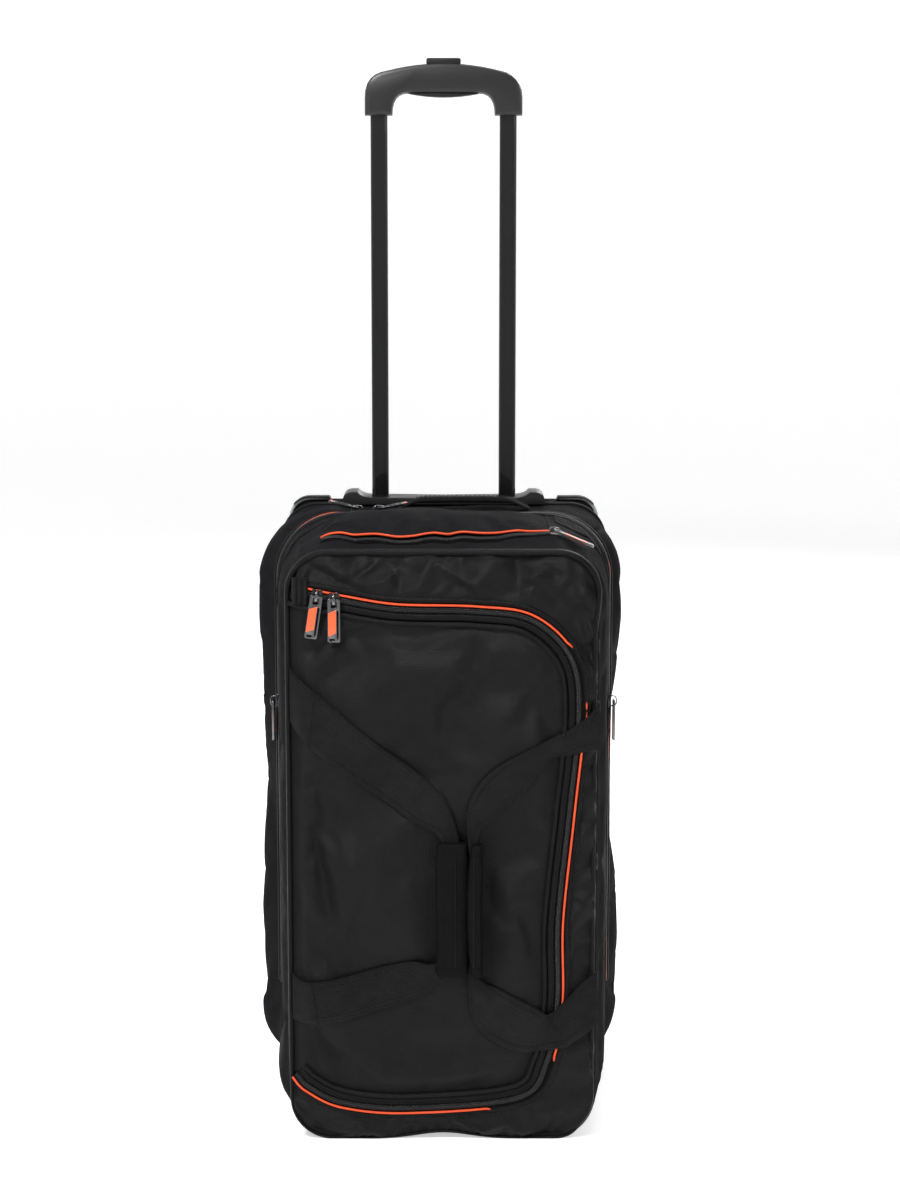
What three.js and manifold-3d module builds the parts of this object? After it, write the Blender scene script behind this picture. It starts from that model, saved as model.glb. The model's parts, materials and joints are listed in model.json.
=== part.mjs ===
// Rolling duffel bag standing on its wheel end: soft body, rigid back board, two wheels,
// telescopic pull handle, hinged zip lid, two carry handles and a grab handle.
// Millimetres. +X is the bag's right seen from the lid, +Y points to the back board, +Z is up.
// The origin is on the floor, at the middle of the overall box.
import * as THREE from "three";
import { mergeVertices } from "three/addons/utils/BufferGeometryUtils.js";
import Module from "manifold-3d";

const wasm = await Module();
wasm.setup();

// ---------------------------------------------------------------- driving dimensions
const TOTAL_HEIGHT = 966; // floor to the top of the release button, handle pulled out
const FRONT_Y = -122; // outside of the lid
const BOARD_Y = 124; // outside of the back board
const SKIN = 4; // padded fabric wall
const LID_THICKNESS = 5;
const BOARD_THICKNESS = 4;
const GAP = 0.4; // between pieces that touch on the real bag
const RING_Y = 36; // depth of the zip that runs over the top end and down both sides

// The bag's outline at each depth, front to back.
const SECTIONS = [
  { y: FRONT_Y, halfWidth: 128, top: 525, bottom: 12, radius: 30 },
  { y: -115, halfWidth: 136, top: 534, bottom: 6, radius: 38 },
  { y: -97, halfWidth: 141, top: 541, bottom: 5, radius: 47 },
  { y: -70, halfWidth: 144, top: 545, bottom: 5, radius: 54 },
  { y: 8, halfWidth: 149, top: 547, bottom: 5, radius: 56 },
  { y: RING_Y, halfWidth: 153, top: 548, bottom: 6, radius: 58 },
  { y: 76, halfWidth: 165, top: 548, bottom: 8, radius: 60 },
  { y: 96, halfWidth: 160, top: 549, bottom: 14, radius: 48 },
  { y: 108, halfWidth: 150, top: 550, bottom: 20, radius: 28 },
  { y: BOARD_Y - BOARD_THICKNESS - GAP, halfWidth: 144, top: 550, bottom: 26, radius: 16 },
];

// Telescopic handle
const TUBE_X = 60.2;
const TUBE_Y = 108;
const INNER_TUBE = { width: 16, depth: 12, wall: 1.2, bottom: 476, top: 932 };
const OUTER_TUBE = { width: 19.6, depth: 15.6, wall: 1.2, bottom: 36, top: 548.4 };
const HANDLE_TRAVEL = 356;
const GRIP = { bottom: TOTAL_HEIGHT - 52.5, top: TOTAL_HEIGHT - 5, halfWidth: 73.3, depth: 26 };
const COLLAR = { bottom: 460, top: INNER_TUBE.bottom - GAP };
const PIN_Z = 468;

// Wheels
const WHEEL = { radius: 32, width: 22, x: 132, y: 110 };
const HOUSING = { inner: 112, outer: 152, front: 76, back: 134, bottom: 14, top: 82 };

// Zips. The main zip's line on the front, (x, z), from its upper left end round to its lower left.
const ZIP_LINE = [
  [-121, 500], [-85, 493], [-40, 486], [30, 484], [78, 476], [112, 442], [119, 390], [111, 300],
  [102, 205], [102, 130], [92, 68], [60, 41], [-30, 31], [-90, 36], [-121, 52],
];
const PULL_LENGTH = 38;

// ---------------------------------------------------------------- materials
const materials = {
  fabric: new THREE.MeshStandardMaterial({ color: 0x17171a, roughness: 0.85 }),
  lining: new THREE.MeshStandardMaterial({ color: 0x24242a, roughness: 0.8 }),
  webbing: new THREE.MeshStandardMaterial({ color: 0x141416, roughness: 0.8 }),
  plastic: new THREE.MeshStandardMaterial({ color: 0x1c1c1f, roughness: 0.5 }),
  trim: new THREE.MeshStandardMaterial({ color: 0x55585c, roughness: 0.35 }),
  board: new THREE.MeshStandardMaterial({ color: 0x18181a, roughness: 0.75 }),
  tube: new THREE.MeshStandardMaterial({ color: 0x101012, roughness: 0.3, metalness: 0.8 }),
  steel: new THREE.MeshStandardMaterial({ color: 0xb4b6ba, roughness: 0.3, metalness: 1 }),
  zipMetal: new THREE.MeshStandardMaterial({ color: 0x1a1a1c, roughness: 0.25, metalness: 0.9 }),
  rubber: new THREE.MeshStandardMaterial({ color: 0x121212, roughness: 0.9 }),
  orange: new THREE.MeshStandardMaterial({ color: 0xf0501e, roughness: 0.55 }),
};

// ---------------------------------------------------------------- solids
function toSolid(geometry) {
  const bare = geometry.index ? geometry.toNonIndexed() : geometry.clone();
  bare.deleteAttribute("normal");
  bare.deleteAttribute("uv");
  const merged = mergeVertices(bare, 1e-3);
  const solid = new wasm.Manifold(
    new wasm.Mesh({
      numProp: 3,
      vertProperties: new Float32Array(merged.attributes.position.array),
      triVerts: new Uint32Array(merged.index.array),
    }),
  );
  return solid;
}

function toGeometry(solid) {
  const mesh = solid.getMesh();
  const geometry = new THREE.BufferGeometry();
  geometry.setAttribute("position", new THREE.BufferAttribute(mesh.vertProperties, 3));
  geometry.setIndex(new THREE.BufferAttribute(mesh.triVerts, 1));
  return geometry;
}

function cut(geometry, ...tools) {
  return toGeometry(tools.reduce((s, t) => s.subtract(toSolid(t)), toSolid(geometry)));
}

function overlap(geometry, other) {
  return toGeometry(toSolid(geometry).intersect(toSolid(other)));
}

function join(geometry, ...others) {
  return toGeometry(others.reduce((s, t) => s.add(toSolid(t)), toSolid(geometry)));
}

// A box from its lowest and highest corners.
function block(x0, x1, y0, y1, z0, z1) {
  const box = new THREE.BoxGeometry(x1 - x0, y1 - y0, z1 - z0);
  return box.translate((x0 + x1) / 2, (y0 + y1) / 2, (z0 + z1) / 2);
}

function cylinder(axis, radius, from, to, a, b, sides = 20) {
  const rod = new THREE.CylinderGeometry(radius, radius, to - from, sides);
  const middle = (from + to) / 2;
  if (axis === "x") return rod.rotateZ(Math.PI / 2).translate(middle, a, b);
  if (axis === "y") return rod.translate(a, middle, b);
  return rod.rotateX(Math.PI / 2).translate(a, b, middle);
}

function roundedRect(x0, x1, y0, y1, r) {
  const s = new THREE.Shape();
  s.moveTo(x0 + r, y0);
  s.lineTo(x1 - r, y0);
  s.absarc(x1 - r, y0 + r, r, -Math.PI / 2, 0, false);
  s.lineTo(x1, y1 - r);
  s.absarc(x1 - r, y1 - r, r, 0, Math.PI / 2, false);
  s.lineTo(x0 + r, y1);
  s.absarc(x0 + r, y1 - r, r, Math.PI / 2, Math.PI, false);
  s.lineTo(x0, y0 + r);
  s.absarc(x0 + r, y0 + r, r, Math.PI, 1.5 * Math.PI, false);
  return s;
}

// Extrudes a plan (x, y) shape upwards from z0 to z1.
function upright(shape, z0, z1, arcSteps = 4) {
  const options = { depth: z1 - z0, bevelEnabled: false, curveSegments: arcSteps };
  return new THREE.ExtrudeGeometry(shape, options).translate(0, 0, z0);
}

// Extrudes a front-view (x, z) shape through the depth from y0 to y1, with an optional round edge.
function plate(shape, y0, y1, arcSteps = 5, bevel = 0) {
  const options = {
    depth: y1 - y0 - 2 * bevel,
    bevelEnabled: bevel > 0,
    bevelThickness: bevel,
    bevelSize: bevel,
    bevelOffset: -bevel,
    bevelSegments: 2,
    curveSegments: arcSteps,
  };
  const made = new THREE.ExtrudeGeometry(shape, options);
  return made.rotateX(Math.PI / 2).translate(0, y1 - bevel, 0);
}

// Extrudes a side-view (y, z) shape across the width from x0 to x1.
function across(shape, x0, x1, arcSteps = 5) {
  const options = { depth: x1 - x0, bevelEnabled: false, curveSegments: arcSteps };
  const toSide = new THREE.Matrix4().makeBasis(
    new THREE.Vector3(0, 1, 0),
    new THREE.Vector3(0, 0, 1),
    new THREE.Vector3(1, 0, 0),
  );
  return new THREE.ExtrudeGeometry(shape, options).applyMatrix4(toSide).translate(x0, 0, 0);
}

// ---------------------------------------------------------------- the bag's skin
const inset = (s, t) => ({
  y: s.y,
  halfWidth: s.halfWidth - t,
  top: s.top - t,
  bottom: s.bottom + t,
  radius: Math.max(s.radius - t, 1),
});

// A point on a section's rounded outline. Whole numbers of u are the ends of its straights and
// arcs, anticlockwise seen from the lid: 0-1 bottom, 1-2 arc, 2-3 right side, 3-4 arc, 4-5 top,
// 5-6 arc, 6-7 left side, 7-8 arc.
function onOutline(section, u) {
  const { halfWidth: w, top, bottom, radius: r } = section;
  const k = Math.floor(((u % 8) + 8) % 8);
  const t = (((u % 8) + 8) % 8) - k;
  const corners = [
    [w - r, bottom + r],
    [w - r, top - r],
    [-w + r, top - r],
    [-w + r, bottom + r],
  ];
  const side = Math.floor(k / 2);
  const start = -Math.PI / 2 + (side * Math.PI) / 2;
  const [cx, cz] = corners[side];
  if (k % 2 === 1) {
    const a = start + (t * Math.PI) / 2;
    return [cx + r * Math.cos(a), cz + r * Math.sin(a)];
  }
  const [px, pz] = corners[(side + 3) % 4];
  const mix = (a, b) => a + (b - a) * t;
  return [mix(px, cx) + r * Math.cos(start), mix(pz, cz) + r * Math.sin(start)];
}

// A padded wall: the skin between two places on the outline, from the lid's edge to the board.
function wall(from, to, thickness = SKIN) {
  const stops = [];
  for (let u = from; u < to - 1e-6; ) {
    stops.push(u);
    const onArc = Math.floor(((u % 8) + 8) % 8) % 2 === 1;
    u = Math.min(onArc ? u + 0.25 : Math.floor(u) + 1, to);
  }
  stops.push(to);
  const columns = stops.length;
  const positions = [];
  for (const t of [0, thickness])
    for (const s of SECTIONS)
      for (const u of stops) {
        const [x, z] = onOutline(inset(s, t), u);
        positions.push(x, s.y, z);
      }
  const rows = SECTIONS.length;
  const at = (layer, i, j) => (layer * rows + i) * columns + j;
  const faces = [];
  const quad = (a, b, c, d) => faces.push(a, c, b, a, d, c);
  for (let i = 0; i < rows - 1; i++)
    for (let j = 0; j < columns - 1; j++) {
      quad(at(0, i, j), at(0, i, j + 1), at(0, i + 1, j + 1), at(0, i + 1, j));
      quad(at(1, i, j), at(1, i + 1, j), at(1, i + 1, j + 1), at(1, i, j + 1));
    }
  for (let j = 0; j < columns - 1; j++) {
    quad(at(1, 0, j), at(1, 0, j + 1), at(0, 0, j + 1), at(0, 0, j));
    quad(at(0, rows - 1, j), at(0, rows - 1, j + 1), at(1, rows - 1, j + 1), at(1, rows - 1, j));
  }
  for (let i = 0; i < rows - 1; i++) {
    const last = columns - 1;
    quad(at(0, i, 0), at(0, i + 1, 0), at(1, i + 1, 0), at(1, i, 0));
    quad(at(1, i, last), at(1, i + 1, last), at(0, i + 1, last), at(0, i, last));
  }
  const geometry = new THREE.BufferGeometry();
  geometry.setAttribute("position", new THREE.Float32BufferAttribute(positions, 3));
  geometry.setIndex(faces);
  return geometry;
}

// ---------------------------------------------------------------- the scene graph
const bag = new THREE.Group();
function add(name, geometry, material, parent = bag) {
  const mesh = new THREE.Mesh(geometry, material);
  mesh.name = name;
  parent.add(mesh);
  return mesh;
}
const SIDES = [
  ["left", -1],
  ["right", 1],
];
const mirrored = (side, a, b) => (side > 0 ? [a, b] : [-b, -a]);

// ---------------------------------------------------------------- soft body
const SEAM = 0.006; // share of an arc left open between two walls
// The space that each wheel housing and the corner behind it take out of the skin.
const cornerCutters = SIDES.map(([, side]) => {
  const [x0, x1] = mirrored(side, HOUSING.inner - GAP, 220);
  return block(x0, x1, HOUSING.front - GAP, 220, -20, HOUSING.top + GAP);
});
const tubeCutters = SIDES.map(([, side]) =>
  block(
    side * TUBE_X - OUTER_TUBE.width / 2 - GAP,
    side * TUBE_X + OUTER_TUBE.width / 2 + GAP,
    TUBE_Y - OUTER_TUBE.depth / 2 - GAP,
    TUBE_Y + OUTER_TUBE.depth / 2 + GAP,
    500,
    600,
  ),
);

function addSoftBody() {
  add("right_side_panel", cut(wall(1.5 + SEAM, 3.5 - SEAM), cornerCutters[1]), materials.fabric);
  add("top_end_panel", cut(wall(3.5 + SEAM, 5.5 - SEAM), ...tubeCutters), materials.fabric);
  add("left_side_panel", cut(wall(5.5 + SEAM, 7.5 - SEAM), cornerCutters[0]), materials.fabric);
  add("bottom_end_panel", cut(wall(-0.5 + SEAM, 1.5 - SEAM), ...cornerCutters), materials.fabric);
}

// The lid's outline, grown by a margin; its left edge is the fabric hinge.
const LID_LEFT = -122.4;
function lidOutline(margin, left) {
  const curve = new THREE.SplineCurve(ZIP_LINE.map(([x, z]) => new THREE.Vector2(x, z)));
  const edge = [];
  for (let i = 0; i <= 44; i++) {
    const tangent = curve.getTangent(i / 44);
    const outward = new THREE.Vector2(-tangent.y, tangent.x);
    edge.push(curve.getPoint(i / 44).addScaledVector(outward, margin));
  }
  const [first, last] = [edge[0], edge[edge.length - 1]];
  return new THREE.Shape([
    new THREE.Vector2(left, first.y),
    ...edge,
    new THREE.Vector2(left, last.y),
  ].reverse());
}

function addFront() {
  const edge = inset(SECTIONS[0], SKIN + 1.2);
  const w = edge.halfWidth;
  const rim = roundedRect(-w, w, edge.bottom, edge.top, edge.radius);
  const [y0, y1] = [FRONT_Y, FRONT_Y + LID_THICKNESS];
  const mouth = plate(lidOutline(0.8, -200), y0 - 5, y1 + 5, 8);
  add("front_rim", cut(plate(rim, y0, y1), mouth), materials.fabric);
  add("lid_panel", plate(lidOutline(0, LID_LEFT), y0, y1, 8), materials.fabric);
}

function addTopPocket() {
  const pouch = roundedRect(-112, 100, -70, 22, 18);
  add("top_pocket", upright(pouch, 548, 556), materials.fabric);
}

// Padded strip over the top end, on two sewn feet with a finger gap below.
const GRAB = { x0: -46, x1: 84, y0: 47, y1: 67, top: 562, thickness: 4.6 };
function addGrabHandle() {
  const { x0, x1, y0, y1, top, thickness } = GRAB;
  const foot = 549.6;
  const s = new THREE.Shape();
  s.moveTo(x0, foot);
  s.lineTo(x0, foot + 4);
  s.bezierCurveTo(x0 + 14, top, x0 + 22, top, x0 + 36, top);
  s.lineTo(x1 - 36, top);
  s.bezierCurveTo(x1 - 22, top, x1 - 14, top, x1, foot + 4);
  s.lineTo(x1, foot);
  s.lineTo(x1 - 12, foot);
  s.bezierCurveTo(x1 - 20, top - thickness, x1 - 26, top - thickness, x1 - 38, top - thickness);
  s.lineTo(x0 + 38, top - thickness);
  s.bezierCurveTo(x0 + 26, top - thickness, x0 + 20, top - thickness, x0 + 12, foot);
  add("top_grab_handle", plate(s, y0, y1, 5), materials.fabric);
}

// ---------------------------------------------------------------- carry handles
// Both edges of each webbing loop, front view (x, z), from its upper anchor to its lower one.
const LOOPS = {
  left: {
    outer: [
      [-115, 411], [-84, 386], [-42, 353], [-8, 322], [11, 292], [17, 262], [17, 172],
      [12, 150], [-6, 134], [-52, 124], [-84, 116], [-115, 112],
    ],
    inner: [
      [-115, 150], [-74, 151], [-31, 156], [-10, 150], [-1, 158], [-1, 180],
      [-1, 262], [-1, 281], [-12, 291], [-31, 299], [-59, 316], [-84, 337], [-115, 361],
    ],
    sleeve: { x: [-6, 22], y: [-135, -122.8], slot: [-2.4, 18.4] },
  },
  right: {
    outer: [
      [128, 405], [112, 387], [85, 371], [55, 354], [38, 340], [28, 316], [27, 288],
      [27, 156], [26, 130], [33, 105], [60, 88], [94, 87], [128, 104],
    ],
    inner: [
      [128, 140], [110, 132], [90, 117], [70, 126], [44, 136], [32, 154], [32, 172],
      [32, 262], [34, 286], [52, 300], [68, 320], [84, 343], [108, 352], [128, 356],
    ],
    sleeve: { x: [23, 36], y: [-142, -122.8], slot: [25.4, 33.6] },
  },
};
const STRAP_Y = [-129, -127];
const SLEEVE_Z = [156, 279];

function addCarryHandles() {
  for (const [name, loop] of Object.entries(LOOPS)) {
    const toPoints = (list) => list.map(([x, z]) => new THREE.Vector2(x, z));
    const edge = (list) => new THREE.SplineCurve(toPoints(list)).getPoints(list.length * 2);
    const outline = [...edge(loop.outer), ...edge(loop.inner)];
    const shape = new THREE.Shape(name === "left" ? outline : outline.reverse());
    add(name + "_carry_strap", plate(shape, ...STRAP_Y), materials.webbing);
    const [x0, x1] = loop.sleeve.x;
    const [y0, y1] = loop.sleeve.y;
    const tube = upright(roundedRect(x0, x1, y0, y1, 4.5), ...SLEEVE_Z, 3);
    const passage = block(...loop.sleeve.slot, STRAP_Y[0] - GAP, STRAP_Y[1] + GAP, 100, 300);
    add(name + "_grip_sleeve", cut(tube, passage), materials.fabric);
  }
}

// ---------------------------------------------------------------- back board and hard fittings
function addBoard() {
  const back = SECTIONS[SECTIONS.length - 1];
  const w = back.halfWidth;
  const outline = roundedRect(-w, w, back.bottom, back.top, back.radius);
  const sheet = plate(outline, BOARD_Y - BOARD_THICKNESS, BOARD_Y, 6);
  add("back_board", cut(sheet, ...cornerCutters), materials.board);

  const guardBack = BOARD_Y + 3.2;
  const outer = roundedRect(-w - 4.5, w + 4.5, 0, back.top + 4.5, back.radius + 4.5);
  const inner = roundedRect(-w - 1.6, w + 1.6, -9, back.top + 1.6, back.radius + 1.6);
  const window = roundedRect(-w + 14, w - 14, -9, back.top - 14, 12);
  const edging = join(
    cut(plate(outer, 118, guardBack, 6), plate(inner, 110, 130, 6)),
    cut(plate(outer, BOARD_Y + GAP, guardBack, 6), plate(window, 110, 130, 6)),
  );
  for (const [name, side] of SIDES) {
    const [x0, x1] = mirrored(side, w - 34, w + 20);
    const corner = block(x0, x1, 100, 140, back.top - 40, 600);
    add(name + "_corner_guard", overlap(edging, corner), materials.trim);
  }

  for (const [name, side] of SIDES) {
    const rail = roundedRect(side * 96 - 7, side * 96 + 7, 96, 470, 7);
    add(name + "_skid_rail", plate(rail, BOARD_Y + GAP, BOARD_Y + 7.5, 4, 2), materials.plastic);
  }

  const foot = new THREE.Shape();
  foot.moveTo(-105, 4.6);
  foot.lineTo(-105, 2);
  foot.quadraticCurveTo(-104, 0, -100, 0);
  foot.lineTo(-34, 0);
  foot.quadraticCurveTo(0, 6, 34, 0);
  foot.lineTo(100, 0);
  foot.quadraticCurveTo(104, 0, 105, 2);
  foot.lineTo(105, 4.6);
  add("stand_foot_bar", plate(foot, -102, -72, 6), materials.rubber);
}

function addBezel() {
  const [floor, crest, half] = [556.2, 562, 96.5];
  const s = new THREE.Shape();
  s.moveTo(-half, 550.6);
  s.lineTo(half, 550.6);
  s.quadraticCurveTo(half, crest, half - 9, crest);
  s.lineTo(half - 15, crest);
  s.quadraticCurveTo(half - 19, floor + 0.8, half - 28, floor + 0.6);
  s.quadraticCurveTo(0, floor - 1, -half + 28, floor + 0.6);
  s.quadraticCurveTo(-half + 19, floor + 0.8, -half + 15, crest);
  s.lineTo(-half + 9, crest);
  s.quadraticCurveTo(-half, crest, -half, 550.6);
  const slots = SIDES.map(([, side]) =>
    upright(
      roundedRect(
        side * TUBE_X - INNER_TUBE.width / 2 - GAP,
        side * TUBE_X + INNER_TUBE.width / 2 + GAP,
        TUBE_Y - INNER_TUBE.depth / 2 - GAP,
        TUBE_Y + INNER_TUBE.depth / 2 + GAP,
        3.4,
      ),
      540,
      570,
      3,
    ),
  );
  add("trolley_bezel", cut(plate(s, 92, 126, 4, 0), ...slots), materials.plastic);
}

// A vertical tube of rounded-rectangle section.
function tube({ width, depth, wall: t, bottom, top }) {
  const shape = roundedRect(-width / 2, width / 2, -depth / 2, depth / 2, 3.4);
  const bore = roundedRect(-width / 2 + t, width / 2 - t, -depth / 2 + t, depth / 2 - t, 2.2);
  shape.holes.push(bore);
  return upright(shape, bottom, top, 3);
}

function addOuterTubes() {
  for (const [name, side] of SIDES) {
    const [x0, x1] = mirrored(side, 8.2, 12);
    const holes = [PIN_Z, PIN_Z - HANDLE_TRAVEL].map((z) => cylinder("x", 2.6, x0, x1, 0, z, 12));
    const mesh = add(name + "_outer_tube", cut(tube(OUTER_TUBE), ...holes), materials.tube);
    mesh.position.set(side * TUBE_X, TUBE_Y, 0);
  }
  const socket = SIDES.map(([, side]) =>
    block(side * TUBE_X - 10.2, side * TUBE_X + 10.2, TUBE_Y - 8.2, TUBE_Y + 8.2, OUTER_TUBE.bottom - GAP, 60),
  );
  const bracket = block(-76, 76, 97, 119.6, 31, 46);
  add("tube_foot_bracket", cut(bracket, ...socket), materials.plastic);

  const channel = block(-80, 80, 90, 119.6, 34, 538);
  const inside = block(-76.8, 76.8, 93.2, 130, 20, 560);
  add("tube_cover", cut(channel, inside), materials.lining);
}

// ---------------------------------------------------------------- wheels
function addWheels() {
  const well = WHEEL.width / 2 + 2;
  for (const [name, side] of SIDES) {
    const [x0, x1] = mirrored(side, HOUSING.inner, HOUSING.outer);
    const profile = roundedRect(HOUSING.front, HOUSING.back, HOUSING.bottom, HOUSING.top, 14);
    const middle = side * WHEEL.x;
    add(
      name + "_wheel_housing",
      cut(
        across(profile, x0, x1, 4),
        cylinder("x", WHEEL.radius + 3.5, middle - well, middle + well, WHEEL.y, WHEEL.radius, 28),
        cylinder("x", 3.3, x0 - 5, x1 + 5, WHEEL.y, WHEEL.radius, 12),
      ),
      materials.plastic,
    );
    const shank = cylinder("x", 3, x0 - 0.6, x1 + 0.6, WHEEL.y, WHEEL.radius, 12);
    const heads = [x0 - 2.4, x1 + GAP].map((x) => cylinder("x", 5.5, x, x + 2, WHEEL.y, WHEEL.radius, 12));
    add(name + "_wheel_axle", join(shank, ...heads), materials.steel);

    const half = WHEEL.width / 2;
    const r = WHEEL.radius;
    const tread = [
      [22.4, -half], [r - 5, -half], [r - 1.4, -half + 3.5], [r, -3.5], [r, 3.5],
      [r - 1.4, half - 3.5], [r - 5, half], [22.4, half], [22.4, -half],
    ];
    const rim = [
      [3.1, -half], [8, -half], [10, -half + 4], [17, -half + 4], [19, -half + 0.6], [22, -half + 0.6],
      [22, half - 0.6], [19, half - 0.6], [17, half - 4], [10, half - 4], [8, half], [3.1, half], [3.1, -half],
    ];
    for (const [piece, profilePoints, material] of [
      ["tyre", tread, materials.rubber],
      ["hub", rim, materials.plastic],
    ]) {
      const points = profilePoints.map(([a, b]) => new THREE.Vector2(a, b));
      const turned = new THREE.LatheGeometry(points, 24).rotateZ(-Math.PI / 2);
      const mesh = add(name + "_wheel_" + piece, turned, material);
      mesh.position.set(middle, WHEEL.y, WHEEL.radius);
    }
  }
}

// ---------------------------------------------------------------- telescopic handle
function gripOutline() {
  const { bottom, top, halfWidth: w } = GRIP;
  const s = new THREE.Shape();
  s.moveTo(-w, bottom);
  s.lineTo(-w + 25.6, bottom);
  s.bezierCurveTo(-w + 25.6, bottom + 14, -w + 30, bottom + 20.4, -32, bottom + 20.4);
  s.lineTo(32, bottom + 20.4);
  s.bezierCurveTo(w - 30, bottom + 20.4, w - 25.6, bottom + 14, w - 25.6, bottom);
  s.lineTo(w, bottom);
  s.lineTo(w, bottom + 16);
  s.bezierCurveTo(w, bottom + 32, w - 8, bottom + 39, 52, top - 6.5);
  s.quadraticCurveTo(26, top, 0, top);
  s.quadraticCurveTo(-26, top, -52, top - 6.5);
  s.bezierCurveTo(-w + 8, bottom + 39, -w, bottom + 32, -w, bottom + 16);
  return s;
}

function addTelescopicHandle() {
  const [y0, y1] = [TUBE_Y - GRIP.depth / 2, TUBE_Y + GRIP.depth / 2];
  const sockets = SIDES.flatMap(([, side]) => [
    block(side * TUBE_X - 8.4, side * TUBE_X + 8.4, TUBE_Y - 6.4, TUBE_Y + 6.4, 900, INNER_TUBE.top + GAP),
    cylinder("z", 3, 930, 945, side * TUBE_X, TUBE_Y, 10),
  ]);
  add(
    "grip_body",
    cut(
      plate(gripOutline(), y0, y1, 6, 4),
      block(-64.5, 64.5, 104, 112, 937.5, 951),
      block(-16.4, 16.4, 98.6, 117.4, 954, 980),
      block(-6.4, 6.4, 104, 112, 945, 970),
      ...sockets,
      ...SIDES.map(([, side]) => cylinder("y", 2.1, y1 - 8, y1 + 5, side * 36, 945, 10)),
    ),
    materials.plastic,
  );

  const pad = new THREE.Shape();
  pad.moveTo(-33, GRIP.bottom + 20);
  pad.quadraticCurveTo(0, GRIP.bottom + 13.4, 33, GRIP.bottom + 20);
  add("grip_pad", plate(pad, y0 + 3, y1 - 3, 8), materials.rubber);

  for (const [name, side] of SIDES) {
    const head = cylinder("y", 1.8, y1 - 7.5, y1 - 1.2, side * 36, 945, 10);
    add(name + "_grip_screw", head, materials.steel);

    const inner = add(name + "_inner_tube", tube(INNER_TUBE), materials.tube);
    inner.position.set(side * TUBE_X, TUBE_Y, 0);

    const bore = { w: INNER_TUBE.width / 2 - INNER_TUBE.wall - 0.3, d: INNER_TUBE.depth / 2 - INNER_TUBE.wall - 0.3 };
    const [p0, p1] = mirrored(side, -0.7, 8.6);
    const plug = cut(
      join(
        upright(roundedRect(-8.2, 8.2, -6.2, 6.2, 3), COLLAR.bottom, COLLAR.top, 2),
        upright(roundedRect(-bore.w, bore.w, -bore.d, bore.d, 1.6), COLLAR.top - 1, 500, 2),
      ),
      cylinder("z", 2.6, 486, 510, 0, 0, 10),
      cylinder("x", 2.5, p0, p1, 0, PIN_Z, 10),
    );
    add(name + "_tube_plug", plug, materials.plastic).position.set(side * TUBE_X, TUBE_Y, 0);

    const [q0, q1] = mirrored(side, 2.4, 8.4);
    const pin = cylinder("x", 2.2, q0, q1, 0, PIN_Z, 10);
    add(name + "_lock_pin", pin, materials.steel).position.set(side * TUBE_X, TUBE_Y, 0);

    const rod = cylinder("z", 2, 493, 942.6, 0, 0, 8);
    add(name + "_push_rod", rod, materials.steel).position.set(side * TUBE_X, TUBE_Y, 0);
  }

  add("push_yoke", block(-63.5, 63.5, 105.2, 110.8, 943, 948), materials.plastic);
  const cap = plate(roundedRect(-16, 16, 958.4, TOTAL_HEIGHT, 2), 99, 117, 3, 1);
  add("release_button", join(cap, block(-6, 6, 104.6, 111.4, 948.4, 960)), materials.plastic);

  const turns = 3;
  class Helix extends THREE.Curve {
    getPoint(t) {
      const a = t * turns * 2 * Math.PI;
      return new THREE.Vector3(2.6 * Math.cos(a), TUBE_Y + 2.6 * Math.sin(a), 938.2 + 4.1 * t);
    }
  }
  const wire = new THREE.Shape().absarc(0, 0, 0.35, 0, 2 * Math.PI, false);
  const options = { steps: 36, extrudePath: new Helix(), curveSegments: 3, bevelEnabled: false };
  add("button_spring", new THREE.ExtrudeGeometry(wire, options), materials.steel);
}

// ---------------------------------------------------------------- zip sliders and pulls
// In the slider's own frame the fabric is the plane y = 0, the outside is -Y, and the pull
// hangs along -Z from a pin line at (0, PIVOT_Y, 0) that runs along X under the bail.
const PIVOT_Y = -6;
function sliderGeometry() {
  const body = upright(roundedRect(-5, 5, -3.2, -GAP, 1.2), -6, 6, 2);
  const arch = block(-1.2, 1.2, -9, -2.8, -5, 5);
  const eye = block(-3, 3, -7.5, -4.2, -3.2, 3.2);
  return join(body, cut(arch, eye));
}

function pullGeometry(length) {
  const s = roundedRect(-5.5, 5.5, -length + 0.8, 0.8, 1.6);
  const eye = roundedRect(-2.6, 2.6, -6.8, -0.8, 0.8);
  const slot = roundedRect(1.8, 3.7, -length + 4, -9, 0.8);
  s.holes.push(eye, slot);
  return plate(s, -1.1, 1.1, 2);
}

// `outward` points away from the fabric, `hang` is the way the pull lies and `droop` dips its tip.
function addZipper(name, position, outward, hang, length = PULL_LENGTH, droop = 0) {
  const y = new THREE.Vector3(...outward).negate();
  const z = new THREE.Vector3(...hang).negate();
  const x = new THREE.Vector3().crossVectors(y, z);
  const unit = new THREE.Group();
  unit.applyMatrix4(new THREE.Matrix4().makeBasis(x, y, z));
  unit.position.set(...position);
  add(name + "_slider", sliderGeometry(), materials.zipMetal, unit);
  const pull = add(name + "_pull", pullGeometry(length), materials.orange, unit);
  pull.position.y = PIVOT_Y;
  pull.rotation.x = THREE.MathUtils.degToRad(droop);
  bag.add(unit);
}

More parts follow.
